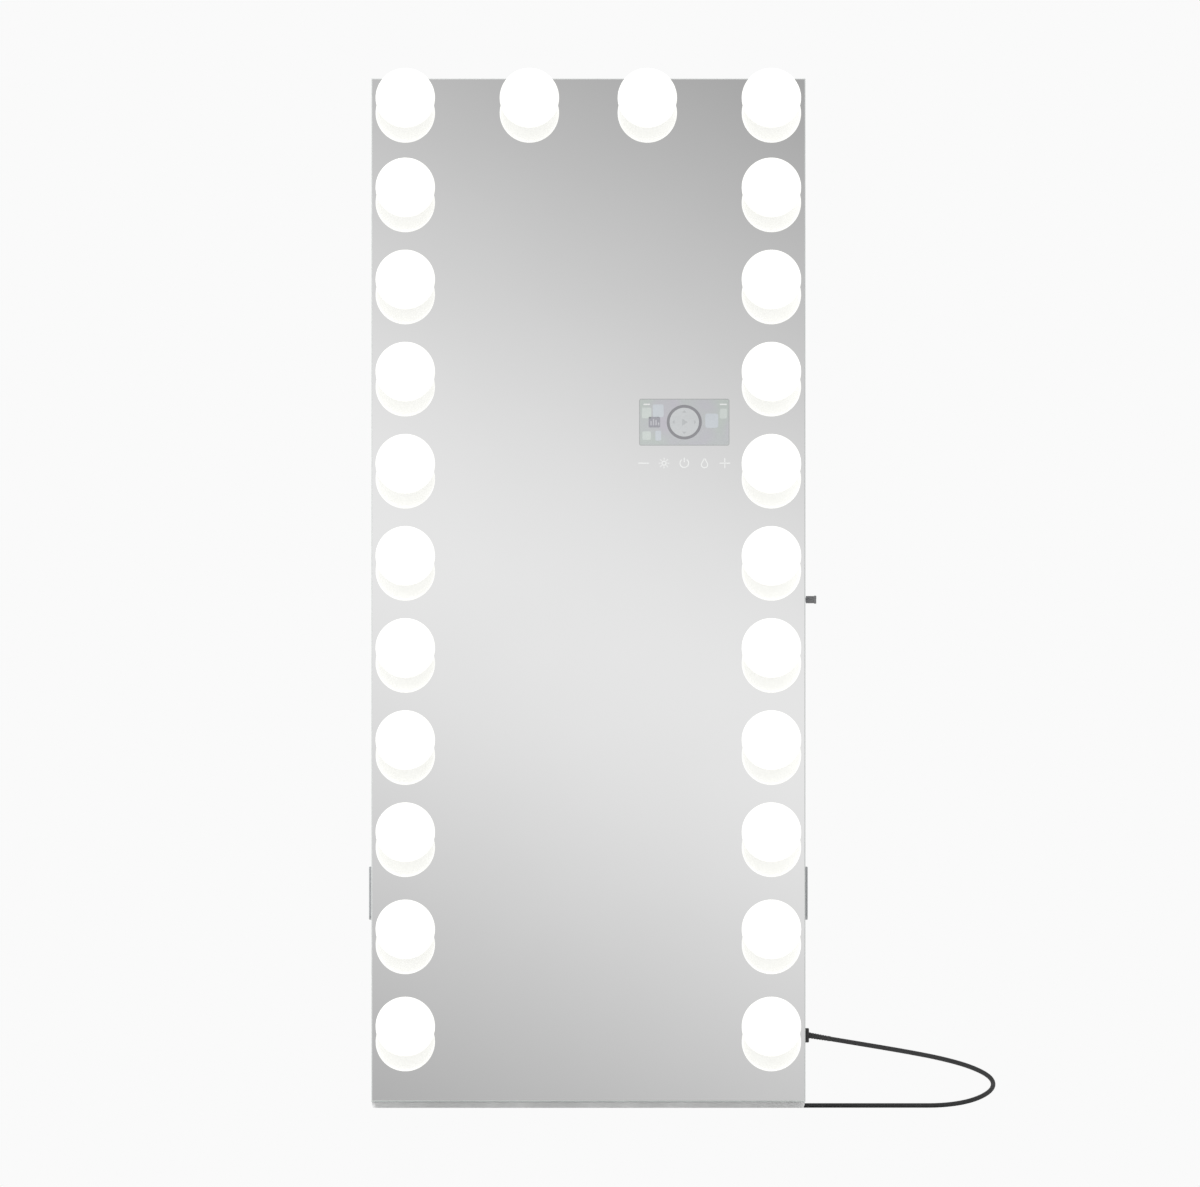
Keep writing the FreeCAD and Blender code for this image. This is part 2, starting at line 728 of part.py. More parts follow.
def dimmer_shaft():
    """The turning shaft, from the dimmer's body into the knob."""
    start_x = RAIL_OUTER_X - RAIL_WALL - 7.5
    length = KNOB_END_X - 4.0 - start_x
    return disc(SHAFT_RADIUS, Vector(start_x, KNOB_V, KNOB_W), length, X_AXIS)


def dimmer_knob():
    """The fluted knob with its slightly wider end."""
    cap = 3.2
    body_length = KNOB_END_X - KNOB_START_X - cap
    start = Vector(KNOB_START_X, KNOB_V, KNOB_W)
    body = disc(KNOB_RADIUS, start, body_length, X_AXIS)
    end = disc(KNOB_CAP_RADIUS, start + X_AXIS * body_length, cap, X_AXIS)
    rim = [edge for edge in end.Edges if len(edge.Vertexes) == 1]
    end = end.makeFillet(0.6, rim)
    flutes = []
    for step in range(KNOB_FLUTES):
        angle = 2 * math.pi * step / KNOB_FLUTES
        offset = Vector(0, math.cos(angle), math.sin(angle)) * (KNOB_RADIUS + 0.2)
        flutes.append(disc(0.55, start + offset, body_length - 1.0, X_AXIS))
    bore = disc(SHAFT_RADIUS, start, KNOB_END_X - 4.0 - KNOB_START_X, X_AXIS)
    return fused([body, end]).cut(group(flutes + [bore]))


def cord_direction():
    """The direction in which the lead leaves the gland, in the row frame."""
    angle = math.radians(CORD_SLOPE)
    return Vector(math.cos(angle), 0, -math.sin(angle))


def gland_mouth():
    """The middle of the gland's outer face, in the row frame."""
    return row_point(GLAND_FLANGE_END_X, GLAND_V, GLAND_W)


def grooved_cone(start, along, length, first_radius, last_radius):
    """A strain relief: a slim cone with grooves round it that let it bend."""
    grooves = []
    for step in range(1 + int((length - 2 * GROOVE_MARGIN) / GROOVE_PITCH)):
        reach = GROOVE_MARGIN + GROOVE_PITCH * step
        radius = first_radius + (last_radius - first_radius) * reach / length
        place = start + along * reach
        outside = disc(radius + 1.0, place, GROOVE_WIDTH, along)
        grooves.append(outside.cut(disc(radius - GROOVE_DEPTH, place, GROOVE_WIDTH, along)))
    return Part.makeCone(first_radius, last_radius, length, start, along).cut(group(grooves))


def cable_gland():
    """The gland in the right-hand rail: inner nut, barrel, flange and strain relief."""
    face_x = RAIL_OUTER_X - RAIL_WALL
    nut = disc(GLAND_BARREL_RADIUS + 3.5, Vector(face_x - 6, GLAND_V, GLAND_W), 6, X_AXIS)
    barrel = disc(GLAND_BARREL_RADIUS, Vector(face_x, GLAND_V, GLAND_W), RAIL_WALL, X_AXIS)
    flange_length = GLAND_FLANGE_END_X - RAIL_OUTER_X
    flange = disc(GLAND_FLANGE_RADIUS, Vector(RAIL_OUTER_X, GLAND_V, GLAND_W), flange_length, X_AXIS)
    rim = [edge for edge in flange.Edges if edge.BoundBox.XMin > GLAND_FLANGE_END_X - 0.1]
    flange = flange.makeFillet(1.5, rim)
    buried = 1.5
    along = cord_direction()
    start = gland_mouth() - along * buried
    relief = grooved_cone(start, along, RELIEF_LENGTH + buried, RELIEF_BASE_RADIUS, RELIEF_TIP_RADIUS)
    return fused([leaned(fused([nut, barrel, flange])), relief])


# ---------------------------------------------------------------- mains lead

def relief_tip():
    """Where the lead comes out of the strain relief."""
    return gland_mouth() + cord_direction() * RELIEF_LENGTH


def lead_route():
    """The lead's corners from the strain relief, round behind the mirror, to the coil."""
    return [relief_tip()] + [
        Vector(386.0, 15.9, 86.8),
        Vector(438.0, 15.4, 78.0),
        Vector(488.0, 19.0, 68.5),
        Vector(531.0, 34.0, 56.5),
        Vector(559.0, 64.0, 41.5),
        Vector(560.0, 101.0, 25.0),
        Vector(534.0, 128.0, 10.5),
        Vector(494.0, 138.0, FLOOR_Z),
        Vector(447.0, 133.5, FLOOR_Z),
        Vector(397.0, 121.0, FLOOR_Z),
        Vector(347.0, 111.0, FLOOR_Z),
        Vector(299.0, 105.0, FLOOR_Z),
        Vector(262.0, COIL_CENTRE[1] - COIL_OUTER_TURN, FLOOR_Z),
    ]


def tail_route():
    """The lead's corners from the coil's top turn to the plug."""
    return [
        Vector(COIL_CENTRE[0] - COIL_LAST_TURN, COIL_CENTRE[1] + 6, COIL_TOP_Z),
        Vector(210.4, 180.0, 14.6),
        Vector(208.0, 203.0, PLUG_START[2]),
        Vector(*PLUG_START),
    ]


def mains_cord():
    """The free lead: from the gland to the coil, and from the coil to the plug."""
    section = math.pi * CORD_DIAMETER ** 2 / 4
    tubes = []
    total = 0.0
    for name, route in (("lead", lead_route()), ("tail", tail_route())):
        tube, length, radii = tube_along(route, CORD_DIAMETER)
        total += length
        tubes.append(tube)
        print(name, "radii", [round(radius) for radius in radii])
        print(name, "volume over section times length", round(tube.Volume / (section * length), 4))
    turn_length = math.pi * (COIL_OUTER_TURN + COIL_INNER_TURN)
    print("lead length with the coil", round(total + COIL_TURNS * turn_length))
    return group(tubes)


def cord_coil():
    """The outer shape of the coiled lead: a thick ring on the floor."""
    inner = COIL_INNER_TURN - CORD_DIAMETER / 2
    outer = COIL_OUTER_TURN + CORD_DIAMETER / 2
    low = FLOOR_Z - CORD_DIAMETER / 2
    high = COIL_TOP_Z + CORD_DIAMETER / 2
    centre = Vector(COIL_CENTRE[0], COIL_CENTRE[1], low)
    ring = disc(outer, centre, high - low, Z_AXIS).cut(disc(inner, centre, high - low, Z_AXIS))
    rims = [edge for edge in ring.Edges if len(edge.Vertexes) == 1]
    return ring.makeFillet(CORD_DIAMETER / 2 - 0.3, rims)


def plug_body():
    """The moulded plug, with grooves for the fingers and its own tapered strain relief."""
    start = Vector(*PLUG_START)
    relief = grooved_cone(start, Y_AXIS, PLUG_RELIEF_LENGTH, RELIEF_TIP_RADIUS, PLUG_RELIEF_RADIUS)
    half_width = PLUG_WIDTH / 2
    rear_y = start.y + PLUG_RELIEF_LENGTH - 2
    front_y = start.y + PLUG_LENGTH
    body = block(start.x - half_width, start.x + half_width, rear_y, front_y, PLUG_LOW_Z, PLUG_HIGH_Z)
    rear = [edge for edge in body.Edges if edge.BoundBox.YMax < front_y - 1]
    uprights = [edge for edge in rear if abs(edge.tangentAt(0).z) > 0.9]
    body = body.makeFillet(9.0, uprights)
    level = [edge for edge in body.Edges if edge.BoundBox.ZLength < 0.01]
    lengthways = [edge for edge in level if edge.BoundBox.YLength > 1]
    body = body.makeFillet(2.2, lengthways)
    return fused([relief, body]).cut(group(finger_grooves(start)))


def finger_grooves(start):
    """Cutters for the grooves across the plug's top and its underside."""
    proud = 1.0
    reach = PLUG_WIDTH / 2 + proud
    grooves = []
    for step in range(GRIPS):
        y = start.y + GRIP_START + GRIP_PITCH * step
        for z in (PLUG_LOW_Z - proud, PLUG_HIGH_Z - GROOVE_DEPTH):
            high = z + proud + GROOVE_DEPTH
            grooves.append(block(start.x - reach, start.x + reach, y, y + GROOVE_WIDTH, z, high))
    return grooves


def plug_blades():
    """The two flat blades."""
    start = Vector(*PLUG_START)
    front_y = start.y + PLUG_LENGTH
    tip_y = front_y + BLADE_LENGTH
    middle_z = (PLUG_LOW_Z + PLUG_HIGH_Z) / 2
    low_z = middle_z - BLADE_WIDTH / 2
    blades = []
    for side in (-1, 1):
        low_x = start.x + side * BLADE_SPACING / 2 - BLADE_THICKNESS / 2
        blade = block(low_x, low_x + BLADE_THICKNESS, front_y, tip_y, low_z, low_z + BLADE_WIDTH)
        end = [edge for edge in blade.Edges if edge.BoundBox.YMin > tip_y - 1]
        tip = [edge for edge in end if edge.BoundBox.XLength > 1]
        blades.append(blade.makeFillet(1.5, tip))
    return group(blades)


# ---------------------------------------------------------------- stand

def stand_cross_rail():
    """The flat bar inside the housing that the hinge brackets are screwed to."""
    half = RAIL_OUTER_X - RAIL_WALL
    rear = COVER_V - RAIL_WALL
    thickness = 3.0
    half_w = BRACKET_PLATE_W / 2
    bar = block(-half, half, rear - thickness, rear, PIVOT_W - half_w, PIVOT_W + half_w)
    gap = SCREW_RADIUS + RUNNING_GAP
    holes = [disc(gap, start, thickness, V_AXIS) for start in bracket_screw_starts(rear - thickness)]
    return bar.cut(group(holes))


def bracket_screw_starts(v):
    """Where the hinge brackets' screws pass the given depth."""
    starts = []
    for side in (-1, 1):
        for step_x in (-BRACKET_SCREW_X / 2, BRACKET_SCREW_X / 2):
            for step_w in (-BRACKET_SCREW_W / 2, BRACKET_SCREW_W / 2):
                starts.append(Vector(side * STAND_X + step_x, v, PIVOT_W + step_w))
    return starts


def hinge_bracket(centre_x):
    """One bracket: a base plate on the cover and two ears for the pin."""
    half_x = BRACKET_PLATE_X / 2
    half_w = BRACKET_PLATE_W / 2
    base = block(
        centre_x - half_x, centre_x + half_x,
        DEPTH, DEPTH + BRACKET_BASE,
        PIVOT_W - half_w, PIVOT_W + half_w,
    )
    corners = [edge for edge in base.Edges if abs(edge.tangentAt(0).y) > 0.9]
    base = base.makeFillet(CORNER_RADIUS, corners)
    parts = [base]
    ear_inner = LEG_WIDTH / 2 + EAR_GAP
    for low_x in (centre_x - ear_inner - BRACKET_BASE, centre_x + ear_inner):
        high_x = low_x + BRACKET_BASE
        parts.append(block(low_x, high_x, DEPTH, PIVOT_V, PIVOT_W - EAR_WIDTH / 2, PIVOT_W + EAR_WIDTH / 2))
        parts.append(disc(EAR_WIDTH / 2, Vector(low_x, PIVOT_V, PIVOT_W), BRACKET_BASE, X_AXIS))
    reach = ear_inner + BRACKET_BASE
    pin_hole = disc(PIN_RADIUS, Vector(centre_x - reach, PIVOT_V, PIVOT_W), 2 * reach, X_AXIS)
    gap = SCREW_RADIUS + RUNNING_GAP
    screw_holes = [disc(gap, start, BRACKET_BASE, V_AXIS) for start in bracket_screw_starts(DEPTH)]
    return fused(parts).cut(group([pin_hole] + screw_holes))


def hinge_pin(centre_x):
    """One riveted hinge pin with its two heads."""
    reach = LEG_WIDTH / 2 + EAR_GAP + BRACKET_BASE
    head = 1.6
    start = Vector(centre_x - reach, PIVOT_V, PIVOT_W)
    shank = disc(PIN_RADIUS, start, 2 * reach, X_AXIS)
    heads = [
        disc(PIN_RADIUS + head, start - X_AXIS * head, head, X_AXIS),
        disc(PIN_RADIUS + head, start + X_AXIS * (2 * reach), head, X_AXIS),
    ]
    return fused([shank] + heads)


def pivot_point():
    """The middle of the stand's hinge axis, in the row frame."""
    return row_point(0, PIVOT_V, PIVOT_W)


def stood(shape):
    """A shape drawn hanging straight down from the hinge axis, swung back to its place."""
    moved = shape.copy()
    swing = Placement(pivot_point(), Rotation(X_AXIS, LEG_ANGLE))
    moved.Placement = swing.multiply(shape.Placement)
    return moved


def leg_length():
    """The length from the hinge axis to the floor."""
    return pivot_point().z / math.cos(math.radians(LEG_ANGLE))


def leg_shell(grow, low_z, high_z, centre_x):
    """A box round the leg's outline, grown by a margin, between two heights."""
    half_x = LEG_WIDTH / 2 + grow
    half_y = LEG_DEPTH / 2 + grow
    return block(centre_x - half_x, centre_x + half_x, -half_y, half_y, low_z, high_z)


def stand_leg(centre_x):
    """One leg: a rectangular tube with rounded long edges."""
    low = -leg_length() + LEG_END_GAP
    outer = leg_shell(0, low, LEG_TOP, centre_x)
    long_edges = [edge for edge in outer.Edges if abs(edge.tangentAt(0).z) > 0.9]
    outer = outer.makeFillet(2.0, long_edges)
    return stood(outer.cut(leg_shell(-LEG_WALL, low, LEG_TOP, centre_x)))


def pivot_block(centre_x):
    """A leg's pivot: an eye, a shoulder, a spigot in the tube, and a heel that stops on the bracket."""
    half = LEG_WIDTH / 2
    spigot = 24.0
    eye = disc(EYE_RADIUS, Vector(centre_x - half, 0, 0), LEG_WIDTH, X_AXIS)
    shoulder = leg_shell(0, LEG_TOP, 0, centre_x)
    plug = leg_shell(-LEG_WALL - 0.1, LEG_TOP - spigot, LEG_TOP, centre_x)
    hanging = stood(fused([eye, shoulder, plug]))
    heel_v = DEPTH + BRACKET_BASE + STOP_GAP
    heel = block(centre_x - half, centre_x + half, heel_v, PIVOT_V + 3, PIVOT_W, PIVOT_W + 14)
    bore = disc(PIN_RADIUS + RUNNING_GAP, Vector(centre_x - half, PIVOT_V, PIVOT_W), LEG_WIDTH, X_AXIS)
    return fused([hanging, leaned(heel)]).cut(leaned(bore))


def stand_foot(centre_x):
    """A rubber cap on a leg's lower end, flat where it meets the floor."""
    cover = 24.0
    low = -leg_length() - LEG_DEPTH
    tube_end = -leg_length() + LEG_END_GAP
    cap = leg_shell(2.5, low, tube_end + cover, centre_x)
    long_edges = [edge for edge in cap.Edges if abs(edge.tangentAt(0).z) > 0.9]
    cap = cap.makeFillet(3.5, long_edges)
    room = leg_shell(0, tube_end, tube_end + cover, centre_x)
    room_edges = [edge for edge in room.Edges if abs(edge.tangentAt(0).z) > 0.9]
    cap = stood(cap.cut(room.makeFillet(2.0, room_edges)))
    below = Part.makeBox(200, 400, 100, Vector(centre_x - 100, 100, -100))
    return cap.cut(below)


def stand_foot_bar():
    """The round tube that ties the two legs together near the floor."""
    height = -leg_length() + FOOT_BAR_HEIGHT
    half = STAND_X - LEG_WIDTH / 2
    outer = disc(LEG_DEPTH / 2 - 0.5, Vector(-half, 0, height), 2 * half, X_AXIS)
    inner = disc(LEG_DEPTH / 2 - 1.5, Vector(-half, 0, height), 2 * half, X_AXIS)
    return stood(outer.cut(inner))


def both_sides(make):
    """The left and the right copy of a stand piece, in one node."""
    return group([make(-STAND_X), make(STAND_X)])


# ---------------------------------------------------------------- the whole model

def all_parts():
    """Each node's name and its shape in the row frame."""
    parts = {name: leaned(globe(x, w)) for name, (x, w) in LAMPS.items()}
    for name, rail in frame_rails().items():
        parts[name] = leaned(rail)
    panel_parts = {
        "mirror_glass": mirror_glass(),
        "glass_tape": glass_tape(),
        "frame_corner_brackets": frame_corner_brackets(),
        "rear_cover": rear_cover(),
        "screws": screws(),
        "bulb_necks": at_each_lamp(neck),
        "bulb_screw_caps": at_each_lamp(screw_cap),
        "socket_bodies": at_each_lamp(socket_body),
        "socket_collars": at_each_lamp(socket_collar),
        "led_driver": led_driver(),
        "control_board": control_board(),
        "display_module": display_module(),
        "wiring_harness": wiring_harness(),
        "speaker_grilles": group([speaker_grille(), mirrored(speaker_grille())]),
        "speaker_drivers": group([speaker_driver(), mirrored(speaker_driver())]),
        "dimmer_switch": dimmer_switch(),
        "dimmer_shaft": dimmer_shaft(),
        "dimmer_knob": dimmer_knob(),
        "stand_cross_rail": stand_cross_rail(),
        "stand_hinge_brackets": both_sides(hinge_bracket),
        "stand_hinge_pins": both_sides(hinge_pin),
    }
    for name, shape in panel_parts.items():
        parts[name] = leaned(shape)
    parts["foot_strip"] = foot_strip()
    parts["cable_gland"] = cable_gland()
    parts["mains_cord"] = mains_cord()
    parts["cord_coil"] = cord_coil()
    parts["plug_body"] = plug_body()
    parts["plug_blades"] = plug_blades()
    parts["stand_leg_left"] = stand_leg(-STAND_X)
    parts["stand_leg_right"] = stand_leg(STAND_X)
    parts["stand_pivot_blocks"] = both_sides(pivot_block)
    parts["stand_feet"] = both_sides(stand_foot)
    parts["stand_foot_bar"] = stand_foot_bar()
    return parts


def main():
    os.makedirs("parts", exist_ok=True)
    for name, shape in all_parts().items():
        shape.exportStep(f"parts/{name}.step")


main()
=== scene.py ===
import json
import math

import bpy
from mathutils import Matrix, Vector


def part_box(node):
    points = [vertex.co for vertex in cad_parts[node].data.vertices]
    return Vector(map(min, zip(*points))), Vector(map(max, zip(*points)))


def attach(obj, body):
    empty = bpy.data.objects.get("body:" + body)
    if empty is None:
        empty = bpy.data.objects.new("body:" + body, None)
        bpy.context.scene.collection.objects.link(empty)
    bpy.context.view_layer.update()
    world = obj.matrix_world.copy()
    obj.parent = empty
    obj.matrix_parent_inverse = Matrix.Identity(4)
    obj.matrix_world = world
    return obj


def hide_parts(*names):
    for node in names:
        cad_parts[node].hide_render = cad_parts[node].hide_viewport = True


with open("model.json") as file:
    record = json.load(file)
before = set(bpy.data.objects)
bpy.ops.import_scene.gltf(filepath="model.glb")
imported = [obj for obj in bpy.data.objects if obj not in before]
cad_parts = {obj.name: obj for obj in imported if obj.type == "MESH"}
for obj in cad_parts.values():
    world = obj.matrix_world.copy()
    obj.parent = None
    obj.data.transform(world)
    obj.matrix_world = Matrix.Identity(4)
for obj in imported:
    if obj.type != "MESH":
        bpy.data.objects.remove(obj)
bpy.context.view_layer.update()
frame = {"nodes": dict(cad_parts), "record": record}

# Looks of the lighted vanity mirror, built round its CAD model. Everything is in metres, in the
# CAD model's frame: +X to the right of somebody who looks into the mirror, +Y behind it, +Z up.
#
# The mirror leans back, so what belongs to it is placed on its panel: x across, v behind the
# front of the glass and w up from the glass's lower edge.

MM = 0.001

# Camera and studio
VIEW_WIDTH = 1.6586
VIEW_X = 0.0161
VIEW_Z = 0.7109
CAMERA_DISTANCE = 6.0
HORIZON_LIGHT = 0.956
SKY_LIGHT = 0.7
HORIZON_RISE = 0.03
SKY_RISE = 0.6
FLOOR_SIZE = 60.0
KEY_LAMP_PLACE = (-2.6, -3.0, 3.4)
KEY_LAMP_POWER = 110
BACK_LAMP_PLACE = (2.8, 3.2, 2.8)
BACK_LAMP_POWER = 60
LAMP_SIZE = 2.4
LAMP_TARGET = (0, 0, 0.6)

# The pale card round the front, which is what the mirror shows
CARD_TOP = 8.0
CARD_HALF_ARC = 105
CARD_STEPS = 40
DISPLAY_GAMMA = 2.2
MIRROR_REFLECTANCE = 0.93
RIDGE_Z = 0.657
RIDGE_SLOPE = 0.445
RIDGE_LEVEL = 0.898
RIDGE_FALL = 0.387
RIDGE_SOFTNESS = 0.271
RIDGE_REACH = 1.15
VALLEY_DEPTH = 1.0
VALLEY_SOFTNESS = 0.25
CARD_FOOT_LIGHT = 0.68
CARD_FADE_HEIGHT = 1.7

# Mains lead
CORD_DIAMETER = 6.4 * MM
COIL_CENTRE = (0.245, 0.145)
COIL_OUTER_TURN = 40.75 * MM
COIL_INNER_TURN = 27.75 * MM
COIL_LAST_TURN = 32.6 * MM
COIL_LAYER_HEIGHTS = (3.3 * MM, 9.8 * MM, 16.3 * MM)
COIL_TURNS = 5.25
POINTS_PER_TURN = 24
LAYER_TURNS = 2
CLIMB_TURNS = 0.25

TIE_ANGLE = 25
TIE_WIDTH = 12 * MM
TIE_THICKNESS = 0.9 * MM
TIE_SLACK = 0.2 * MM

# What shows on the glass at the display
DISPLAY_ROUNDING = 3 * MM
DISPLAY_RIM = 1.2 * MM
FILM = 0.15 * MM
DIAL_RADIUS = 24.3 * MM
DIAL_LINE = 4.0 * MM
PLAY_MARK = 5.0 * MM
SIDE_MARK = 3.0 * MM
SIDE_MARK_REACH = 13.5 * MM
ICON_DROP = 57.7 * MM
ICON_PITCH = 28.0 * MM
ICON_SIZE = 7.0 * MM
ICON_LINE = 1.3 * MM
DEGREES_PER_STEP = 7
KNOB_LINE = 0.8 * MM
KNOB_LINE_ENDS = (0.25, 0.85)


# The panel's own directions, taken from a keyhole's axis and the corner of the glass

def mount_axis(name):
    """The direction of one of the record's mounts."""
    for mount in frame["record"]["mounts"]:
        if mount["name"] == name:
            return Vector(mount["axis"]).normalized()
    raise ValueError(name)


ACROSS = Vector((1, 0, 0))
BACK = mount_axis("wall_keyhole_left")
UP = ACROSS.cross(BACK)
GLASS_POINTS = [vertex.co for vertex in frame["nodes"]["mirror_glass"].data.vertices]
FRONT_OFFSET = min(point.dot(BACK) for point in GLASS_POINTS)
LOWER_OFFSET = min(point.dot(UP) for point in GLASS_POINTS)


def on_panel(x, v, w):
    """The place in the frame of a point on the panel."""
    return ACROSS * x + BACK * (FRONT_OFFSET + v) + UP * (LOWER_OFFSET + w)


def panel_box(node):
    """The lowest and highest x, v and w of a CAD node."""
    points = [vertex.co for vertex in frame["nodes"][node].data.vertices]
    sides = []
    for axis, offset in ((ACROSS, 0), (BACK, FRONT_OFFSET), (UP, LOWER_OFFSET)):
        along = [point.dot(axis) - offset for point in points]
        sides.append((min(along), max(along)))
    return sides


GLOBE_DEPTHS = panel_box("bulb_left_01")[1]


# Camera

def add_object(name, data):
    """A new object in the scene."""
    made = bpy.data.objects.new(name, data)
    bpy.context.scene.collection.objects.link(made)
    return made


def make_camera():
    """A level camera straight in front, without perspective."""
    data = bpy.data.cameras.new("camera")
    data.type = "ORTHO"
    data.ortho_scale = VIEW_WIDTH
    camera = add_object("camera", data)
    camera.location = (VIEW_X, -CAMERA_DISTANCE, VIEW_Z)
    camera.rotation_euler = (math.radians(90), 0, 0)
    bpy.context.scene.camera = camera


make_camera()


class Paint:
    """A material's node tree, with one short call for each kind of node."""

    def __init__(self, name):
        self.material = bpy.data.materials.new(name)
        self.material.use_nodes = True
        self.tree = self.material.node_tree
        self.shader = self.tree.nodes["Principled BSDF"]
        self.place = self.add("ShaderNodeTexCoord").outputs["Object"]

    def connect(self, node, inputs):
        """Links a node's inputs, or sets them, by name or number."""
        for name, value in inputs.items():
            if isinstance(value, bpy.types.NodeSocket):
                self.tree.links.new(value, node.inputs[name])
            else:
                node.inputs[name].default_value = value

    def add(self, kind, inputs=None, **settings):
        """A new node with its settings and inputs."""
        made = self.tree.nodes.new(kind)
        for name, value in settings.items():
            setattr(made, name, value)
        self.connect(made, inputs or {})
        return made

    def surface(self, inputs):
        """Links or sets inputs of the main shader."""
        self.connect(self.shader, inputs)

    def along(self, axis):
        """How far a point of the surface is along a direction."""
        inputs = {0: self.place, 1: tuple(axis)}
        return self.add("ShaderNodeVectorMath", inputs, operation="DOT_PRODUCT").outputs["Value"]

    def panel_place(self, stretch):
        """The point in panel directions, each multiplied by its own stretch."""
        inputs = {"X": self.along(ACROSS), "Y": self.along(BACK), "Z": self.along(UP)}
        turned = self.add("ShaderNodeCombineXYZ", inputs).outputs[0]
        return self.add("ShaderNodeVectorMath", {0: turned, 1: stretch}, operation="MULTIPLY").outputs[0]

    def noise(self, scale, detail=3.0, place=None):
        """Cloudy noise from 0 to 1."""
        inputs = {"Vector": place or self.place, "Scale": scale, "Detail": detail}
        return self.add("ShaderNodeTexNoise", inputs).outputs["Fac"]

    def cells(self, scale, feature="F1"):
        """The distance to the middle of the nearest of many irregular cells, or to its edge."""
        inputs = {"Vector": self.place, "Scale": scale}
        return self.add("ShaderNodeTexVoronoi", inputs, feature=feature).outputs["Distance"]

    def math(self, operation, first, second=0.0, third=0.0):
        """One sum on numbers, by the name that the node gives it."""
        inputs = {0: first, 1: second, 2: third}
        return self.add("ShaderNodeMath", inputs, operation=operation).outputs[0]

    def spread(self, value, low, high, out_low=0.0, out_high=1.0):
        """Moves a value from one range to another, and clamps it there."""
        inputs = {"Value": value, "From Min": low, "From Max": high, "To Min": out_low, "To Max": out_high}
        return self.add("ShaderNodeMapRange", inputs).outputs["Result"]

    def mix(self, factor, first, second):
        """A blend of two colours, each a linked colour or three numbers."""
        inputs = {0: factor}
        for place, colour in ((6, first), (7, second)):
            linked = isinstance(colour, bpy.types.NodeSocket)
            inputs[place] = colour if linked else (*colour, 1)
        return self.add("ShaderNodeMix", inputs, data_type="RGBA").outputs[2]

    def blend(self, factor, first, second):
        """A blend of two numbers."""
        inputs = {0: factor, 2: first, 3: second}
        return self.add("ShaderNodeMix", inputs, data_type="FLOAT").outputs[0]

    def rounded(self, radius):
        """A normal that looks as if the edges were broken by that radius."""
        return self.add("ShaderNodeBevel", {"Radius": radius}, samples=4).outputs["Normal"]

    def bump(self, height, distance, strength=1.0, normal=None):
        """A normal that looks raised where the height is high."""
        inputs = {"Height": height, "Distance": distance, "Strength": strength}
        if normal:
            inputs["Normal"] = normal
        return self.add("ShaderNodeBump", inputs).outputs["Normal"]

    def wear(self, radius, amount):
        """How worn a spot is: high along edges, broken up by noise."""
        true_normal = self.add("ShaderNodeNewGeometry").outputs["Normal"]
        inputs = {0: self.rounded(radius), 1: true_normal}
        flat = self.add("ShaderNodeVectorMath", inputs, operation="DOT_PRODUCT").outputs["Value"]
        edge = self.spread(flat, 0.995, 0.85)
        patches = self.spread(self.noise(90, 5), 0.45, 0.65)
        return self.math("MULTIPLY", self.math("MULTIPLY", edge, patches), amount)


def shade(colour, factor):
    """A colour made darker or lighter."""
    return tuple(min(1, channel * factor) for channel in colour)


# Materials, one function for each kind of surface. Each takes its name and base colour.

def silvered_glass(name, colour):
    """Silvered glass: bright in front, clear on its chamfers, pale green on its edges, grey behind."""
    paint = Paint(name)
    normal = paint.add("ShaderNodeNewGeometry").outputs["True Normal"]
    inputs = {0: normal, 1: tuple(BACK)}
    facing = paint.add("ShaderNodeVectorMath", inputs, operation="DOT_PRODUCT").outputs["Value"]
    # -1 in front, about -0.7 on the chamfers, 0 on the edges and in the holes, and 1 behind
    front = paint.spread(facing, -0.985, -0.995)
    chamfer = paint.spread(facing, -0.60, -0.68)
    behind = paint.spread(facing, 0.95, 0.99)
    polish = paint.mix(paint.noise(60), (0.60, 0.68, 0.65), (0.68, 0.75, 0.73))
    backing = paint.mix(paint.noise(300), (0.20, 0.21, 0.22), (0.25, 0.26, 0.27))
    edge = paint.mix(chamfer, paint.mix(behind, polish, backing), (0.62, 0.64, 0.63))
    smears = paint.spread(paint.noise(5, 6), 0.35, 0.75)
    silver = paint.mix(smears, colour, shade(colour, 0.985))
    haze = paint.spread(paint.noise(11, 5), 0.4, 0.8, 0.004, 0.018)
    gloss = paint.blend(front, 0.12, haze)
    paint.surface({
        "Base Color": paint.mix(front, edge, silver),
        "Metallic": front,
        "Roughness": gloss,
        "Normal": paint.rounded(0.3 * MM),
    })
    return paint.material


def foam(name, colour):
    """Closed-cell foam, with small round pores."""
    paint = Paint(name)
    pores = paint.cells(1400)
    paint.surface({
        "Base Color": paint.mix(pores, shade(colour, 0.6), shade(colour, 1.3)),
        "Roughness": 0.95,
        "Normal": paint.bump(pores, 0.2 * MM),
    })
    return paint.material


def anodised(name, colour):
    """Extruded aluminium: fine lines along the bar under a satin anodised skin."""
    paint = Paint(name)
    lines = paint.noise(1.0, 4, paint.panel_place((2400, 2400, 6)))
    clouds = paint.noise(14)
    tone = paint.mix(clouds, shade(colour, 0.9), colour)
    paint.surface({
        "Base Color": paint.mix(paint.wear(0.8 * MM, 0.5), tone, shade(colour, 1.15)),
        "Metallic": 1.0,
        "Roughness": paint.spread(lines, 0.3, 0.7, 0.26, 0.42),
        "Normal": paint.bump(lines, 0.02 * MM, 0.5, paint.rounded(0.5 * MM)),
    })
    return paint.material


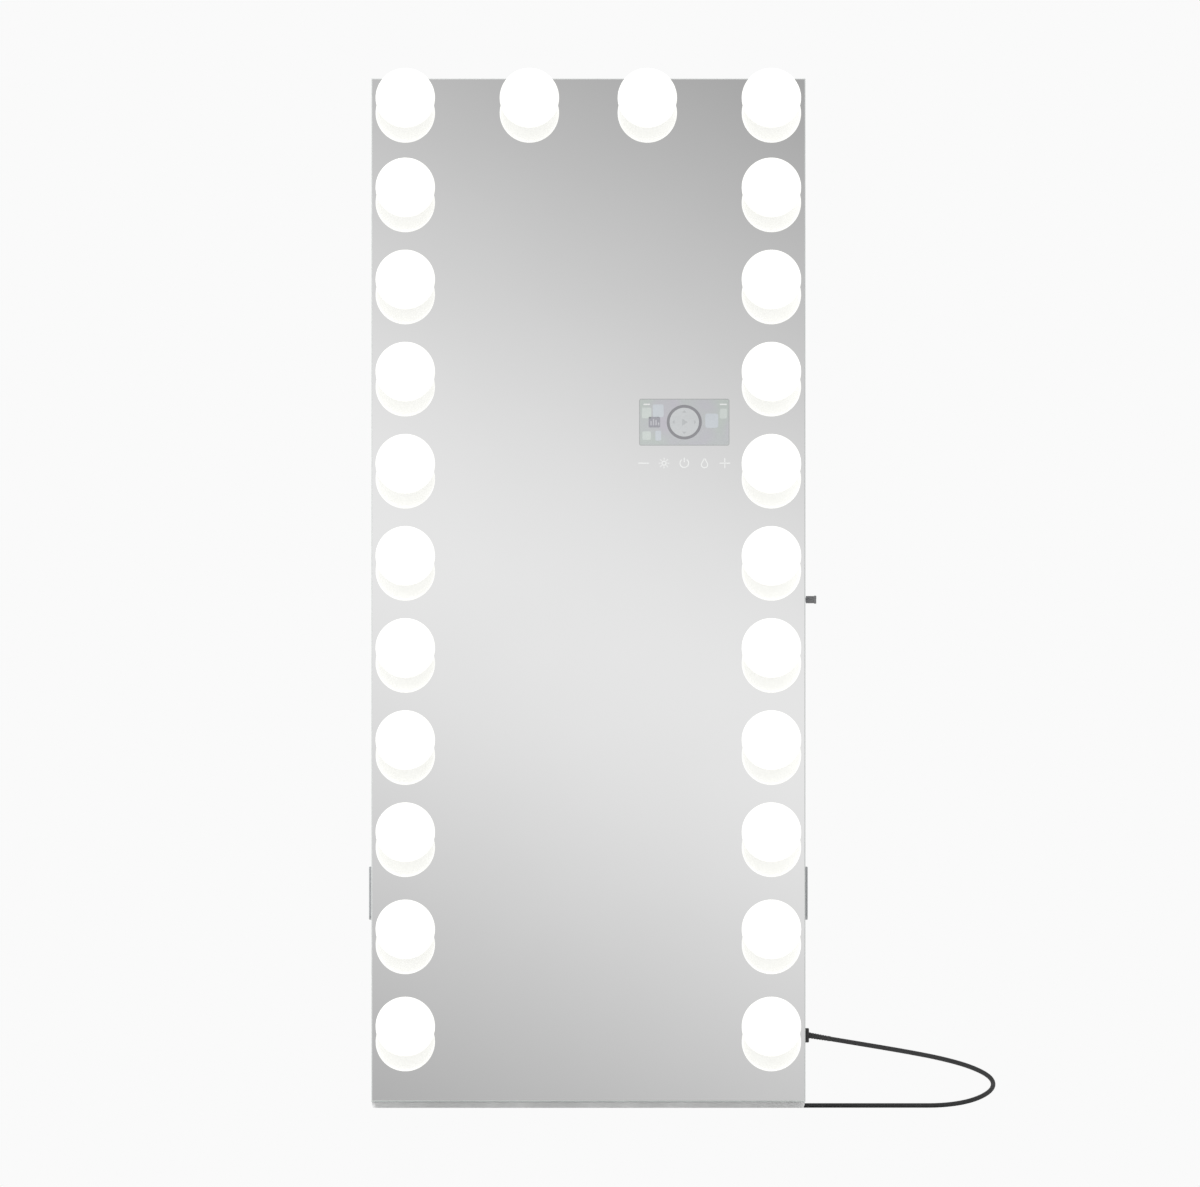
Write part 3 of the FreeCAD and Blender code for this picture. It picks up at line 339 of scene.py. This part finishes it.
def plated(name, colour):
    """Zinc or nickel plating, with a faint cloudy crystal pattern and darker stains."""
    paint = Paint(name)
    crystals = paint.cells(700)
    stains = paint.spread(paint.noise(45, 6), 0.4, 0.75)
    tone = paint.mix(crystals, shade(colour, 0.82), colour)
    paint.surface({
        "Base Color": paint.mix(stains, tone, shade(colour, 0.7)),
        "Metallic": 1.0,
        "Roughness": paint.spread(stains, 0, 1, 0.28, 0.45),
        "Normal": paint.bump(crystals, 0.02 * MM, 0.4, paint.rounded(0.25 * MM)),
    })
    return paint.material


def powder_coat(name, colour):
    """Fine textured powder coat, scuffed brighter along the edges."""
    paint = Paint(name)
    peel = paint.noise(1500, 2)
    waves = paint.noise(220, 2)
    texture = paint.math("ADD", peel, paint.math("MULTIPLY", waves, 0.6))
    tone = paint.mix(paint.noise(7, 5), shade(colour, 0.94), shade(colour, 1.05))
    paint.surface({
        "Base Color": paint.mix(paint.wear(0.7 * MM, 0.6), tone, (0.45, 0.46, 0.47)),
        "Roughness": paint.spread(waves, 0.3, 0.7, 0.42, 0.56),
        "Normal": paint.bump(texture, 0.06 * MM, 0.6, paint.rounded(0.5 * MM)),
    })
    return paint.material


def opal_globe(name, colour):
    """Opal glass lit from inside: even, a little dimmer towards the neck, with a cloudy coating."""
    paint = Paint(name)
    coating = paint.noise(40, 3)
    depth = paint.math("SUBTRACT", paint.along(BACK), FRONT_OFFSET)
    glow = paint.spread(depth, *GLOBE_DEPTHS, 0.93, 0.87)
    cloud = paint.spread(coating, 0.3, 0.7, 0.985, 1.0)
    paint.surface({
        "Base Color": (*shade(colour, 0.2), 1),
        "Roughness": 0.28,
        "Specular IOR Level": 0.2,
        "Emission Color": paint.mix(coating, (1.0, 1.0, 0.95), (1.0, 1.0, 0.97)),
        "Emission Strength": paint.math("MULTIPLY", glow, cloud),
        "Normal": paint.bump(coating, 0.03 * MM, 0.3),
    })
    paint.material.cycles.emission_sampling = "NONE"
    return paint.material


def glossy_plastic(name, colour):
    """Smooth moulded plastic or paint, with a faint orange peel."""
    paint = Paint(name)
    peel = paint.noise(160, 2)
    tone = paint.mix(paint.noise(20, 4), shade(colour, 0.95), colour)
    paint.surface({
        "Base Color": tone,
        "Roughness": paint.spread(peel, 0.3, 0.7, 0.2, 0.32),
        "Normal": paint.bump(peel, 0.03 * MM, 0.4, paint.rounded(0.3 * MM)),
    })
    return paint.material


def ceramic(name, colour):
    """Unglazed ceramic: grainy, with a few darker specks."""
    paint = Paint(name)
    grains = paint.noise(900, 4)
    specks = paint.spread(paint.cells(260), 0.06, 0.03)
    paint.surface({
        "Base Color": paint.mix(specks, colour, shade(colour, 0.62)),
        "Roughness": 0.7,
        "Normal": paint.bump(grains, 0.05 * MM, 0.6),
    })
    return paint.material


def chrome(name, colour):
    """Polished chrome with a few hairline marks."""
    paint = Paint(name)
    hairlines = paint.noise(1.0, 5, paint.panel_place((900, 60, 120)))
    marks = paint.spread(hairlines, 0.55, 0.75)
    paint.surface({
        "Base Color": paint.mix(marks, colour, shade(colour, 0.86)),
        "Metallic": 1.0,
        "Roughness": paint.spread(marks, 0, 1, 0.04, 0.16),
        "Normal": paint.rounded(1.6 * MM),
    })
    return paint.material


def circuit_board(name, colour):
    """Solder resist over copper tracks, with tinned pads."""
    paint = Paint(name)
    tracks = paint.spread(paint.cells(260, "DISTANCE_TO_EDGE"), 0.05, 0.09)
    pads = paint.spread(paint.cells(420), 0.14, 0.1)
    resist = paint.mix(tracks, shade(colour, 1.8), colour)
    paint.surface({
        "Base Color": paint.mix(pads, resist, (0.62, 0.6, 0.5)),
        "Metallic": pads,
        "Roughness": 0.3,
        "Normal": paint.bump(tracks, 0.03 * MM, 0.5),
    })
    return paint.material


def moulded(name, colour):
    """Matt moulded plastic: a fine spark-eroded grain, with the edges rubbed shinier."""
    paint = Paint(name)
    grain = paint.noise(1800, 3)
    rubbed = paint.wear(0.6 * MM, 0.7)
    tone = paint.mix(paint.noise(35, 4), shade(colour, 0.85), shade(colour, 1.2))
    paint.surface({
        "Base Color": paint.mix(rubbed, tone, shade(colour, 2.2)),
        "Roughness": paint.spread(rubbed, 0, 1, 0.52, 0.34),
        "Normal": paint.bump(grain, 0.05 * MM, 0.6, paint.rounded(0.35 * MM)),
    })
    return paint.material


def handled_plastic(name, colour):
    """Moulded plastic that handling has greyed."""
    return moulded(name, shade(colour, 1.4))


def rubber(name, colour):
    """Matt rubber with a cloudy bloom of dust."""
    paint = Paint(name)
    grain = paint.noise(1100, 4)
    bloom = paint.spread(paint.noise(26, 6), 0.45, 0.75, 0, 0.55)
    paint.surface({
        "Base Color": paint.mix(bloom, colour, shade(colour, 1.35)),
        "Roughness": paint.spread(grain, 0.3, 0.7, 0.62, 0.82),
        "Normal": paint.bump(grain, 0.05 * MM, 0.7, paint.rounded(0.6 * MM)),
    })
    return paint.material


def turned_metal(name, colour):
    """Turned aluminium: fine rings round the X axis."""
    paint = Paint(name)
    rings = paint.noise(1.0, 3, paint.panel_place((5000, 4, 4)))
    paint.surface({
        "Base Color": paint.mix(rings, shade(colour, 0.8), colour),
        "Metallic": 1.0,
        "Roughness": 0.3,
        "Normal": paint.bump(rings, 0.02 * MM, 0.6),
    })
    return paint.material


FINISH_OF_SLOT = {
    "mirror_silver": silvered_glass,
    "foam_tape": foam,
    "rail_aluminium": anodised,
    "bracket_steel": plated,
    "cover_paint": powder_coat,
    "fastener_zinc": plated,
    "globe_frosted": opal_globe,
    "lamp_white": glossy_plastic,
    "cap_nickel": plated,
    "socket_ceramic": ceramic,
    "collar_chrome": chrome,
    "driver_case": glossy_plastic,
    "circuit_green": circuit_board,
    "display_face": glossy_plastic,
    "wire_grey": rubber,
    "grille_grey": powder_coat,
    "speaker_black": moulded,
    "shaft_aluminium": turned_metal,
    "knob_grey": handled_plastic,
    "gland_black": moulded,
    "cord_black": rubber,
    "plug_black": moulded,
    "blade_nickel": plated,
    "stand_paint": powder_coat,
    "pivot_black": moulded,
    "foot_rubber": rubber,
    "strip_grey": rubber,
}


def make_finishes():
    """One material for each of the record's slots, in the record's own colour."""
    made = {}
    for material in frame["record"]["materials"]:
        slot = material["slot"]
        made[slot] = FINISH_OF_SLOT[slot](slot, tuple(material["base_color"][:3]))
    return made


def give(piece, material):
    """Makes a material the only one of a piece."""
    piece.data.materials.clear()
    piece.data.materials.append(material)


FINISHES = make_finishes()
for part in frame["record"]["subparts"]:
    give(frame["nodes"][part["node"]], FINISHES[part["material_slot"]])


# The mains lead: one spline from the strain relief to the plug

LEAD_ROUTE = [
    (0.3346, 0.0159, 0.0953), (0.386, 0.0159, 0.0868), (0.438, 0.0154, 0.078), (0.488, 0.019, 0.0685),
    (0.531, 0.034, 0.0565), (0.559, 0.064, 0.0415), (0.560, 0.101, 0.025), (0.534, 0.128, 0.0105),
    (0.494, 0.138, 0.0033), (0.447, 0.1335, 0.0033), (0.397, 0.121, 0.0033), (0.347, 0.111, 0.0033),
    (0.299, 0.105, 0.0033), (0.262, 0.10425, 0.0033),
]
TAIL_ROUTE = [(0.2104, 0.180, 0.0146), (0.208, 0.203, 0.009), (0.208, 0.219, 0.009)]


def between(value, start, end, low, high):
    """Moves in a straight line from low to high while value goes from start to end."""
    share = min(1, max(0, (value - start) / (end - start)))
    return low + (high - low) * share


def coil_radius(turn):
    """The first layer winds inwards, the second outwards and the last inwards again."""
    if turn <= LAYER_TURNS:
        return between(turn, 0, LAYER_TURNS, COIL_OUTER_TURN, COIL_INNER_TURN)
    if turn <= 2 * LAYER_TURNS:
        start = LAYER_TURNS + CLIMB_TURNS
        return between(turn, start, 2 * LAYER_TURNS, COIL_INNER_TURN, COIL_OUTER_TURN)
    start = 2 * LAYER_TURNS + CLIMB_TURNS
    return between(turn, start, COIL_TURNS, COIL_OUTER_TURN, COIL_LAST_TURN)


def coil_height(turn):
    """Each layer lies on the one before, and the lead climbs over a quarter turn."""
    low, middle, high = COIL_LAYER_HEIGHTS
    if turn <= 2 * LAYER_TURNS:
        return between(turn, LAYER_TURNS, LAYER_TURNS + CLIMB_TURNS, low, middle)
    return between(turn, 2 * LAYER_TURNS, 2 * LAYER_TURNS + CLIMB_TURNS, middle, high)


def coil_route():
    """Points along the turns, clockwise seen from above, from the coil's near side."""
    points = []
    for step in range(int(COIL_TURNS * POINTS_PER_TURN) + 1):
        turn = step / POINTS_PER_TURN
        angle = math.radians(270 - 360 * turn)
        radius = coil_radius(turn)
        x = COIL_CENTRE[0] + radius * math.cos(angle)
        y = COIL_CENTRE[1] + radius * math.sin(angle)
        points.append((x, y, coil_height(turn)))
    return points


def make_lead():
    """The whole lead as one round spline, which stands for the CAD tube and coil."""
    data = bpy.data.curves.new("mains_lead", "CURVE")
    data.dimensions = "3D"
    spline = data.splines.new("NURBS")
    route = LEAD_ROUTE + coil_route() + TAIL_ROUTE
    spline.points.add(len(route) - 1)
    for point, place in zip(spline.points, route):
        point.co = (*place, 1)
    spline.order_u = 3
    spline.use_endpoint_u = True
    spline.resolution_u = 6
    data.bevel_depth = CORD_DIAMETER / 2
    data.bevel_resolution = 6
    data.use_fill_caps = True
    lead = add_object("mains_lead", data)
    give(lead, FINISHES["cord_black"])
    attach(lead, "mirror")
    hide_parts("mains_cord", "cord_coil")
    return lead


# Flat prints and films: each is one mesh of thin prisms on the front of the glass

def arc(centre, radius, start, end, steps):
    """Points of an arc on the panel, angles in degrees from +x towards +w."""
    points = []
    for step in range(steps + 1):
        angle = math.radians(start + (end - start) * step / steps)
        points.append((centre[0] + radius * math.cos(angle), centre[1] + radius * math.sin(angle)))
    return points


def rounded_box(centre, width, height, radius):
    """The outline of a rectangle with round corners."""
    x = width / 2 - radius
    w = height / 2 - radius
    points = []
    for corner, (side_x, side_w) in enumerate(((x, w), (-x, w), (-x, -w), (x, -w))):
        middle = (centre[0] + side_x, centre[1] + side_w)
        points += arc(middle, radius, 90 * corner, 90 * corner + 90, 6)
    return points


def stroke(start, end, line):
    """The outline of a straight line with round ends."""
    direction = math.degrees(math.atan2(end[1] - start[1], end[0] - start[0]))
    half = line / 2
    far_end = arc(end, half, direction - 90, direction + 90, 8)
    near_end = arc(start, half, direction + 90, direction + 270, 8)
    return far_end + near_end


def bow(centre, radius, line, start, end):
    """The outline of a bent line, with square ends."""
    steps = int(abs(end - start) / DEGREES_PER_STEP)
    outer = arc(centre, radius + line / 2, start, end, steps)
    inner = arc(centre, radius - line / 2, end, start, steps)
    return outer + inner


def band(outer, inner):
    """What lies between two outlines with as many points, as two simple outlines."""
    half = len(outer) // 2
    first = outer[:half + 1] + inner[half::-1]
    second = outer[half:] + outer[:1] + inner[:1] + inner[:half - 1:-1]
    return [first, second]


def ring(centre, radius, line):
    """A whole ring whose outer radius is given."""
    steps = 64
    outer = arc(centre, radius, 0, 360, steps)[:-1]
    inner = arc(centre, radius - line, 0, 360, steps)[:-1]
    return band(outer, inner)


def prisms(name, outlines, front, thickness):
    """Thin prisms on the panel, one for each outline, from the front depth backwards."""
    vertices = []
    faces = []
    for outline in outlines:
        first = len(vertices)
        count = len(outline)
        vertices += [on_panel(x, front, w) for x, w in outline]
        vertices += [on_panel(x, front + thickness, w) for x, w in outline]
        faces.append([first + place for place in range(count)])
        faces.append([first + count + place for place in reversed(range(count))])
        for place in range(count):
            after = (place + 1) % count
            faces.append([first + after, first + place, first + count + place, first + count + after])
    mesh = bpy.data.meshes.new(name)
    mesh.from_pydata(vertices, [], faces)
    mesh.update()
    piece = add_object(name, mesh)
    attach(piece, "mirror")
    return piece


def lit_film(name, colour, glow):
    """A printed or lit film under the glass: it mirrors a little, and glows a little."""
    paint = Paint(name)
    clouds = paint.noise(55, 2)
    paint.surface({
        "Base Color": paint.mix(clouds, shade(colour, 0.95), shade(colour, 1.04)),
        "Metallic": 0.85,
        "Roughness": paint.spread(clouds, 0.3, 0.7, 0.03, 0.08),
        "Emission Color": (*colour, 1),
        "Emission Strength": glow,
    })
    return paint.material


def display_glass(name):
    """The window over the touch display: darker than the mirror, with a tint that drifts across."""
    paint = Paint(name)
    drift = paint.spread(paint.noise(24, 1), 0.35, 0.65)
    tint = paint.mix(drift, (0.64, 0.69, 0.66), (0.66, 0.64, 0.70))
    paint.surface({
        "Base Color": tint,
        "Metallic": 0.9,
        "Roughness": 0.03,
        "Emission Color": tint,
        "Emission Strength": 0.04,
    })
    return paint.material


def printed(name, outlines, layer, material):
    """A print on the glass. Each layer lies on the one before."""
    piece = prisms(name, outlines, -layer * FILM, FILM)
    give(piece, material)
    return piece


# The display's tiles: across and up from its middle, then width, height and corner, in mm
GREEN_TILES = [(-52, 13, 13, 15, 2), (-52, -19, 12, 12, 2), (54, 12, 10, 14, 2)]
BLUE_TILES = [(-36, 16, 15, 18, 2.5), (38, 2, 18, 20, 3), (-36, -19, 8, 14, 2)]
DARK_TILES = [(-41.3, 0, 16, 15, 2)]
WHITE_TILES = [(-52, 25, 9, 2, 0.8), (54, 25, 10, 2, 0.8)]
METER_BARS = [
    (-46, -1.5, 1.8, 6, 0.6), (-42.5, 0, 1.8, 9, 0.6),
    (-39, -0.7, 1.8, 7.6, 0.6), (-35.5, -2.5, 1.8, 4, 0.6),
]


def dial_marks(x, w):
    """A play mark in the middle of the dial, and four small ones round it."""
    back = x - PLAY_MARK * 0.6
    outlines = [[(back, w + PLAY_MARK), (back, w - PLAY_MARK), (x + PLAY_MARK, w)]]
    for step in range(4):
        angle = math.radians(90 * step)
        ahead = Vector((math.cos(angle), math.sin(angle)))
        beside = Vector((-ahead.y, ahead.x))
        middle = Vector((x, w)) + ahead * SIDE_MARK_REACH
        corners = (middle + beside * SIDE_MARK, middle - beside * SIDE_MARK, middle + ahead * SIDE_MARK)
        outlines.append([tuple(corner) for corner in corners])
    return outlines


def make_display():
    """The display's window, rim, dial and tiles. The middle of the display is given back."""
    (low_x, high_x), _, (low_w, high_w) = panel_box("display_module")
    x = (low_x + high_x) / 2
    w = (low_w + high_w) / 2
    width = high_x - low_x
    height = high_w - low_w
    outline = rounded_box((x, w), width, height, DISPLAY_ROUNDING)
    inside = rounded_box((x, w), width - 2 * DISPLAY_RIM, height - 2 * DISPLAY_RIM, DISPLAY_ROUNDING / 2)
    printed("display_window", [outline], 1, display_glass("display_tint"))
    printed("display_rim", band(outline, inside), 2, lit_film("rim_grey", (0.56, 0.57, 0.57), 0.02))

    dial = ring((x, w), DIAL_RADIUS, DIAL_LINE)
    dial_face = [arc((x, w), DIAL_RADIUS - DIAL_LINE, 0, 360, 48)[:-1]]
    printed("display_dial", dial, 2, lit_film("dial_grey", (0.36, 0.36, 0.38), 0.02))
    printed("display_dial_face", dial_face, 2, lit_film("dial_pale", (0.73, 0.75, 0.76), 0.04))
    printed("display_dial_marks", dial_marks(x, w), 3, lit_film("dial_mark_grey", (0.62, 0.64, 0.65), 0.03))

    groups = (
        ("display_tiles_green", GREEN_TILES, 2, (0.74, 0.79, 0.76), 0.05),
        ("display_tiles_blue", BLUE_TILES, 2, (0.72, 0.76, 0.80), 0.05),
        ("display_tile_dark", DARK_TILES, 2, (0.46, 0.46, 0.50), 0.02),
        ("display_tiles_white", WHITE_TILES, 3, (0.88, 0.89, 0.88), 0.12),
        ("display_meter", METER_BARS, 3, (0.66, 0.66, 0.70), 0.05),
    )
    for name, tiles, layer, colour, glow in groups:
        outlines = []
        for across, up, wide, high, corner in tiles:
            centre = (x + across * MM, w + up * MM)
            outlines.append(rounded_box(centre, wide * MM, high * MM, corner * MM))
        printed(name, outlines, layer, lit_film(name, colour, glow))
    return x, w


# Touch marks under the display, each drawn round a middle with the size that it gets

def minus_mark(x, w, size):
    """A level bar."""
    return [stroke((x - size, w), (x + size, w), ICON_LINE)]


def plus_mark(x, w, size):
    """A minus mark with half a bar below it and half a bar above it."""
    outlines = minus_mark(x, w, size)
    reach = size / 2 - ICON_LINE
    for side in (-1, 1):
        middle = w + side * (size + ICON_LINE) / 2
        outlines.append(stroke((x, middle - reach), (x, middle + reach), ICON_LINE))
    return outlines


def sun_mark(x, w, size):
    """A ring with eight rays."""
    outlines = ring((x, w), size * 0.5, ICON_LINE)
    for step in range(8):
        angle = math.radians(45 * step)
        across = math.cos(angle)
        up = math.sin(angle)
        near = (x + across * size * 0.72, w + up * size * 0.72)
        far = (x + across * size, w + up * size)
        outlines.append(stroke(near, far, ICON_LINE * 0.8))
    return outlines


def power_mark(x, w, size):
    """A broken ring with a bar in the gap."""
    ring_part = bow((x, w), size * 0.85, ICON_LINE, 125, 415)
    return [ring_part, stroke((x, w + size * 0.25), (x, w + size), ICON_LINE)]


def drop_mark(x, w, size):
    """A drop: most of a ring, closed by two lines that meet above it."""
    radius = size * 0.62
    middle = (x, w - size * 0.3)
    outlines = [bow(middle, radius, ICON_LINE, 150, 390)]
    tip = (x, w + size)
    for side in (-1, 1):
        foot = (x + side * radius * math.cos(math.radians(30)), middle[1] + radius * 0.5)
        outlines.append(stroke(foot, tip, ICON_LINE))
    return outlines


def make_touch_marks(x, w):
    """A row of five touch marks below the display."""
    outlines = []
    for step, mark in enumerate((minus_mark, sun_mark, power_mark, drop_mark, plus_mark)):
        outlines += mark(x + (step - 2) * ICON_PITCH, w - ICON_DROP, ICON_SIZE)
    printed("touch_marks", outlines, 1, lit_film("mark_white", (0.92, 0.93, 0.92), 0.16))


def make_knob_mark():
    """The white line that shows which way the dimmer is turned."""
    low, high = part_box("dimmer_knob")
    middle = (low + high) / 2
    face = Vector((high.x, middle.y, middle.z))
    radius = (high.y - low.y) / 2
    half = KNOB_LINE / 2
    near, far = (radius * share for share in KNOB_LINE_ENDS)
    corners = []
    for across, up in ((-half, near), (half, near), (half, far), (-half, far)):
        corners.append(face + BACK * across + UP * up)
    raised = [corner + ACROSS * FILM for corner in corners]
    faces = [(4, 5, 6, 7), (3, 2, 1, 0), (0, 1, 5, 4), (1, 2, 6, 5), (2, 3, 7, 6), (3, 0, 4, 7)]
    mesh = bpy.data.meshes.new("knob_mark")
    mesh.from_pydata(corners + raised, [], faces)
    piece = add_object("knob_mark", mesh)
    give(piece, FINISHES["lamp_white"])
    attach(piece, "knob")


def strap_fabric(name):
    """Black hook-and-loop strap: short fuzzy loops over a woven back."""
    paint = Paint(name)
    fuzz = paint.noise(2600, 5)
    weave = paint.cells(1500)
    paint.surface({
        "Base Color": paint.mix(fuzz, (0.012, 0.012, 0.013), (0.06, 0.06, 0.062)),
        "Roughness": 0.9,
        "Sheen Weight": 0.4,
        "Normal": paint.bump(paint.math("ADD", fuzz, weave), 0.3 * MM, 0.8),
    })
    return paint.material


def make_tie():
    """The strap that holds the coil's turns together, square to them."""
    lead_radius = CORD_DIAMETER / 2
    middle = (COIL_OUTER_TURN + COIL_INNER_TURN) / 2
    width = COIL_OUTER_TURN - COIL_INNER_TURN + CORD_DIAMETER
    top = COIL_LAYER_HEIGHTS[-1] + lead_radius
    inner = rounded_box((middle, top / 2 + TIE_SLACK), width, top - 2 * TIE_SLACK, lead_radius)
    outer_width = width + 2 * TIE_THICKNESS
    outer_height = top + TIE_THICKNESS
    outer = rounded_box((middle, outer_height / 2), outer_width, outer_height, lead_radius + TIE_THICKNESS)
    angle = math.radians(TIE_ANGLE)
    outward = Vector((math.cos(angle), math.sin(angle), 0))
    sideways = Vector((-math.sin(angle), math.cos(angle), 0))
    vertices = []
    for side in (-1, 1):
        for outline in (outer, inner):
            for radius, height in outline:
                flat = Vector((*COIL_CENTRE, 0)) + outward * radius + sideways * side * TIE_WIDTH / 2
                vertices.append(flat + Vector((0, 0, height)))
    count = len(outer)
    faces = []
    for place in range(count):
        after = (place + 1) % count
        for first, second in ((0, 1), (1, 3), (3, 2), (2, 0)):
            start = first * count
            end = second * count
            faces.append((start + place, start + after, end + after, end + place))
    mesh = bpy.data.meshes.new("coil_tie")
    mesh.from_pydata(vertices, [], faces)
    piece = add_object("coil_tie", mesh)
    give(piece, strap_fabric("strap_black"))
    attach(piece, "mirror")
    return piece


LEAD = make_lead()
TIE = make_tie()
make_touch_marks(*make_display())
make_knob_mark()


# Studio: floor, sky, lamps and the card that the mirror shows

def make_floor():
    """A wide pale floor with the faintest clouds in its colour."""
    mesh = bpy.data.meshes.new("floor")
    half = FLOOR_SIZE / 2
    corners = [(-half, -half, 0), (half, -half, 0), (half, half, 0), (-half, half, 0)]
    mesh.from_pydata(corners, [], [(0, 1, 2, 3)])
    floor = add_object("floor", mesh)
    paint = Paint("floor_pale")
    paint.surface({
        "Base Color": paint.mix(paint.noise(3, 4), (0.80, 0.80, 0.795), (0.82, 0.82, 0.815)),
        "Roughness": 0.8,
    })
    give(floor, paint.material)


def make_sky():
    """Even white at the horizon, which is the background, and softer higher up."""
    world = bpy.data.worlds.new("studio")
    bpy.context.scene.world = world
    world.use_nodes = True
    tree = world.node_tree
    background = tree.nodes["Background"]
    place = tree.nodes.new("ShaderNodeTexCoord")
    split = tree.nodes.new("ShaderNodeSeparateXYZ")
    height = tree.nodes.new("ShaderNodeMapRange")
    height.inputs["From Min"].default_value = HORIZON_RISE
    height.inputs["From Max"].default_value = SKY_RISE
    height.inputs["To Min"].default_value = HORIZON_LIGHT
    height.inputs["To Max"].default_value = SKY_LIGHT
    tree.links.new(place.outputs["Generated"], split.inputs[0])
    tree.links.new(split.outputs["Z"], height.inputs["Value"])
    tree.links.new(height.outputs["Result"], background.inputs["Strength"])
    background.inputs["Color"].default_value = (1, 1, 1, 1)


def make_lamp(name, place, power):
    """A square soft lamp that doesn't show in the mirror."""
    data = bpy.data.lights.new(name, "AREA")
    data.size = LAMP_SIZE
    data.energy = power
    lamp = add_object(name, data)
    lamp.location = place
    aim = Vector(LAMP_TARGET) - Vector(place)
    lamp.rotation_euler = aim.to_track_quat("-Z", "Y").to_euler()
    lamp.visible_glossy = False
    lamp.visible_camera = False


def card_light():
    """A light that is bright along slanting ridges and fades to the floor's own light at its foot.

    A level ray that meets the glass at a height z is thrown upwards by twice the lean. All along
    it, x and the distance in the direction "climb" stay the same, so they give z back.
    """
    lean = math.atan2(-BACK.z, BACK.y)
    climb = Vector((0, math.sin(2 * lean), math.cos(2 * lean)))
    paint = Paint("surround_light")
    foot = on_panel(0, 0, 0)
    tilt = math.tan(lean)
    gain = math.cos(2 * lean) + tilt * math.sin(2 * lean)
    offset = (foot.y - tilt * foot.z) * math.sin(2 * lean)
    height = paint.math("DIVIDE", paint.math("SUBTRACT", paint.along(climb), offset), gain)
    ridge = paint.math("SUBTRACT", RIDGE_Z, paint.math("MULTIPLY", paint.along(ACROSS), RIDGE_SLOPE))
    folded = paint.math("PINGPONG", paint.math("SUBTRACT", height, ridge), RIDGE_REACH)
    away = paint.math("SMOOTH_MIN", folded, VALLEY_DEPTH, VALLEY_SOFTNESS)
    square = paint.math("ADD", paint.math("MULTIPLY", away, away), RIDGE_SOFTNESS ** 2)
    rounded = paint.math("SUBTRACT", paint.math("SQRT", square), RIDGE_SOFTNESS)
    level = paint.math("SUBTRACT", RIDGE_LEVEL, paint.math("MULTIPLY", rounded, RIDGE_FALL))
    ridged = paint.math("DIVIDE", paint.math("POWER", level, DISPLAY_GAMMA), MIRROR_REFLECTANCE)
    rise = paint.spread(paint.along((0, 0, 1)), 0, CARD_FADE_HEIGHT)
    light = paint.blend(rise, CARD_FOOT_LIGHT, ridged)
    paint.surface({
        "Base Color": (0, 0, 0, 1),
        "Specular IOR Level": 0.0,
        "Emission Color": (1, 1, 1, 1),
        "Emission Strength": light,
    })
    paint.material.cycles.emission_sampling = "NONE"
    return paint.material


def make_surround():
    """The card: an upright arc of light round the front, which only reflections show."""
    vertices = []
    faces = []
    for step in range(CARD_STEPS + 1):
        angle = math.radians(between(step, 0, CARD_STEPS, -CARD_HALF_ARC, CARD_HALF_ARC))
        x = CAMERA_DISTANCE * math.sin(angle)
        y = -CAMERA_DISTANCE * math.cos(angle)
        vertices += [(x, y, 0), (x, y, CARD_TOP)]
        if step:
            last = 2 * step
            faces.append((last - 2, last, last + 1, last - 1))
    mesh = bpy.data.meshes.new("surround")
    mesh.from_pydata(vertices, [], faces)
    surround = add_object("surround", mesh)
    give(surround, card_light())
    surround.visible_camera = False
    surround.visible_diffuse = False
    surround.visible_shadow = False


make_floor()
make_sky()
make_lamp("key_lamp", KEY_LAMP_PLACE, KEY_LAMP_POWER)
make_lamp("back_lamp", BACK_LAMP_PLACE, BACK_LAMP_POWER)
make_surround()

bpy.context.scene.view_settings.view_transform = "Standard"
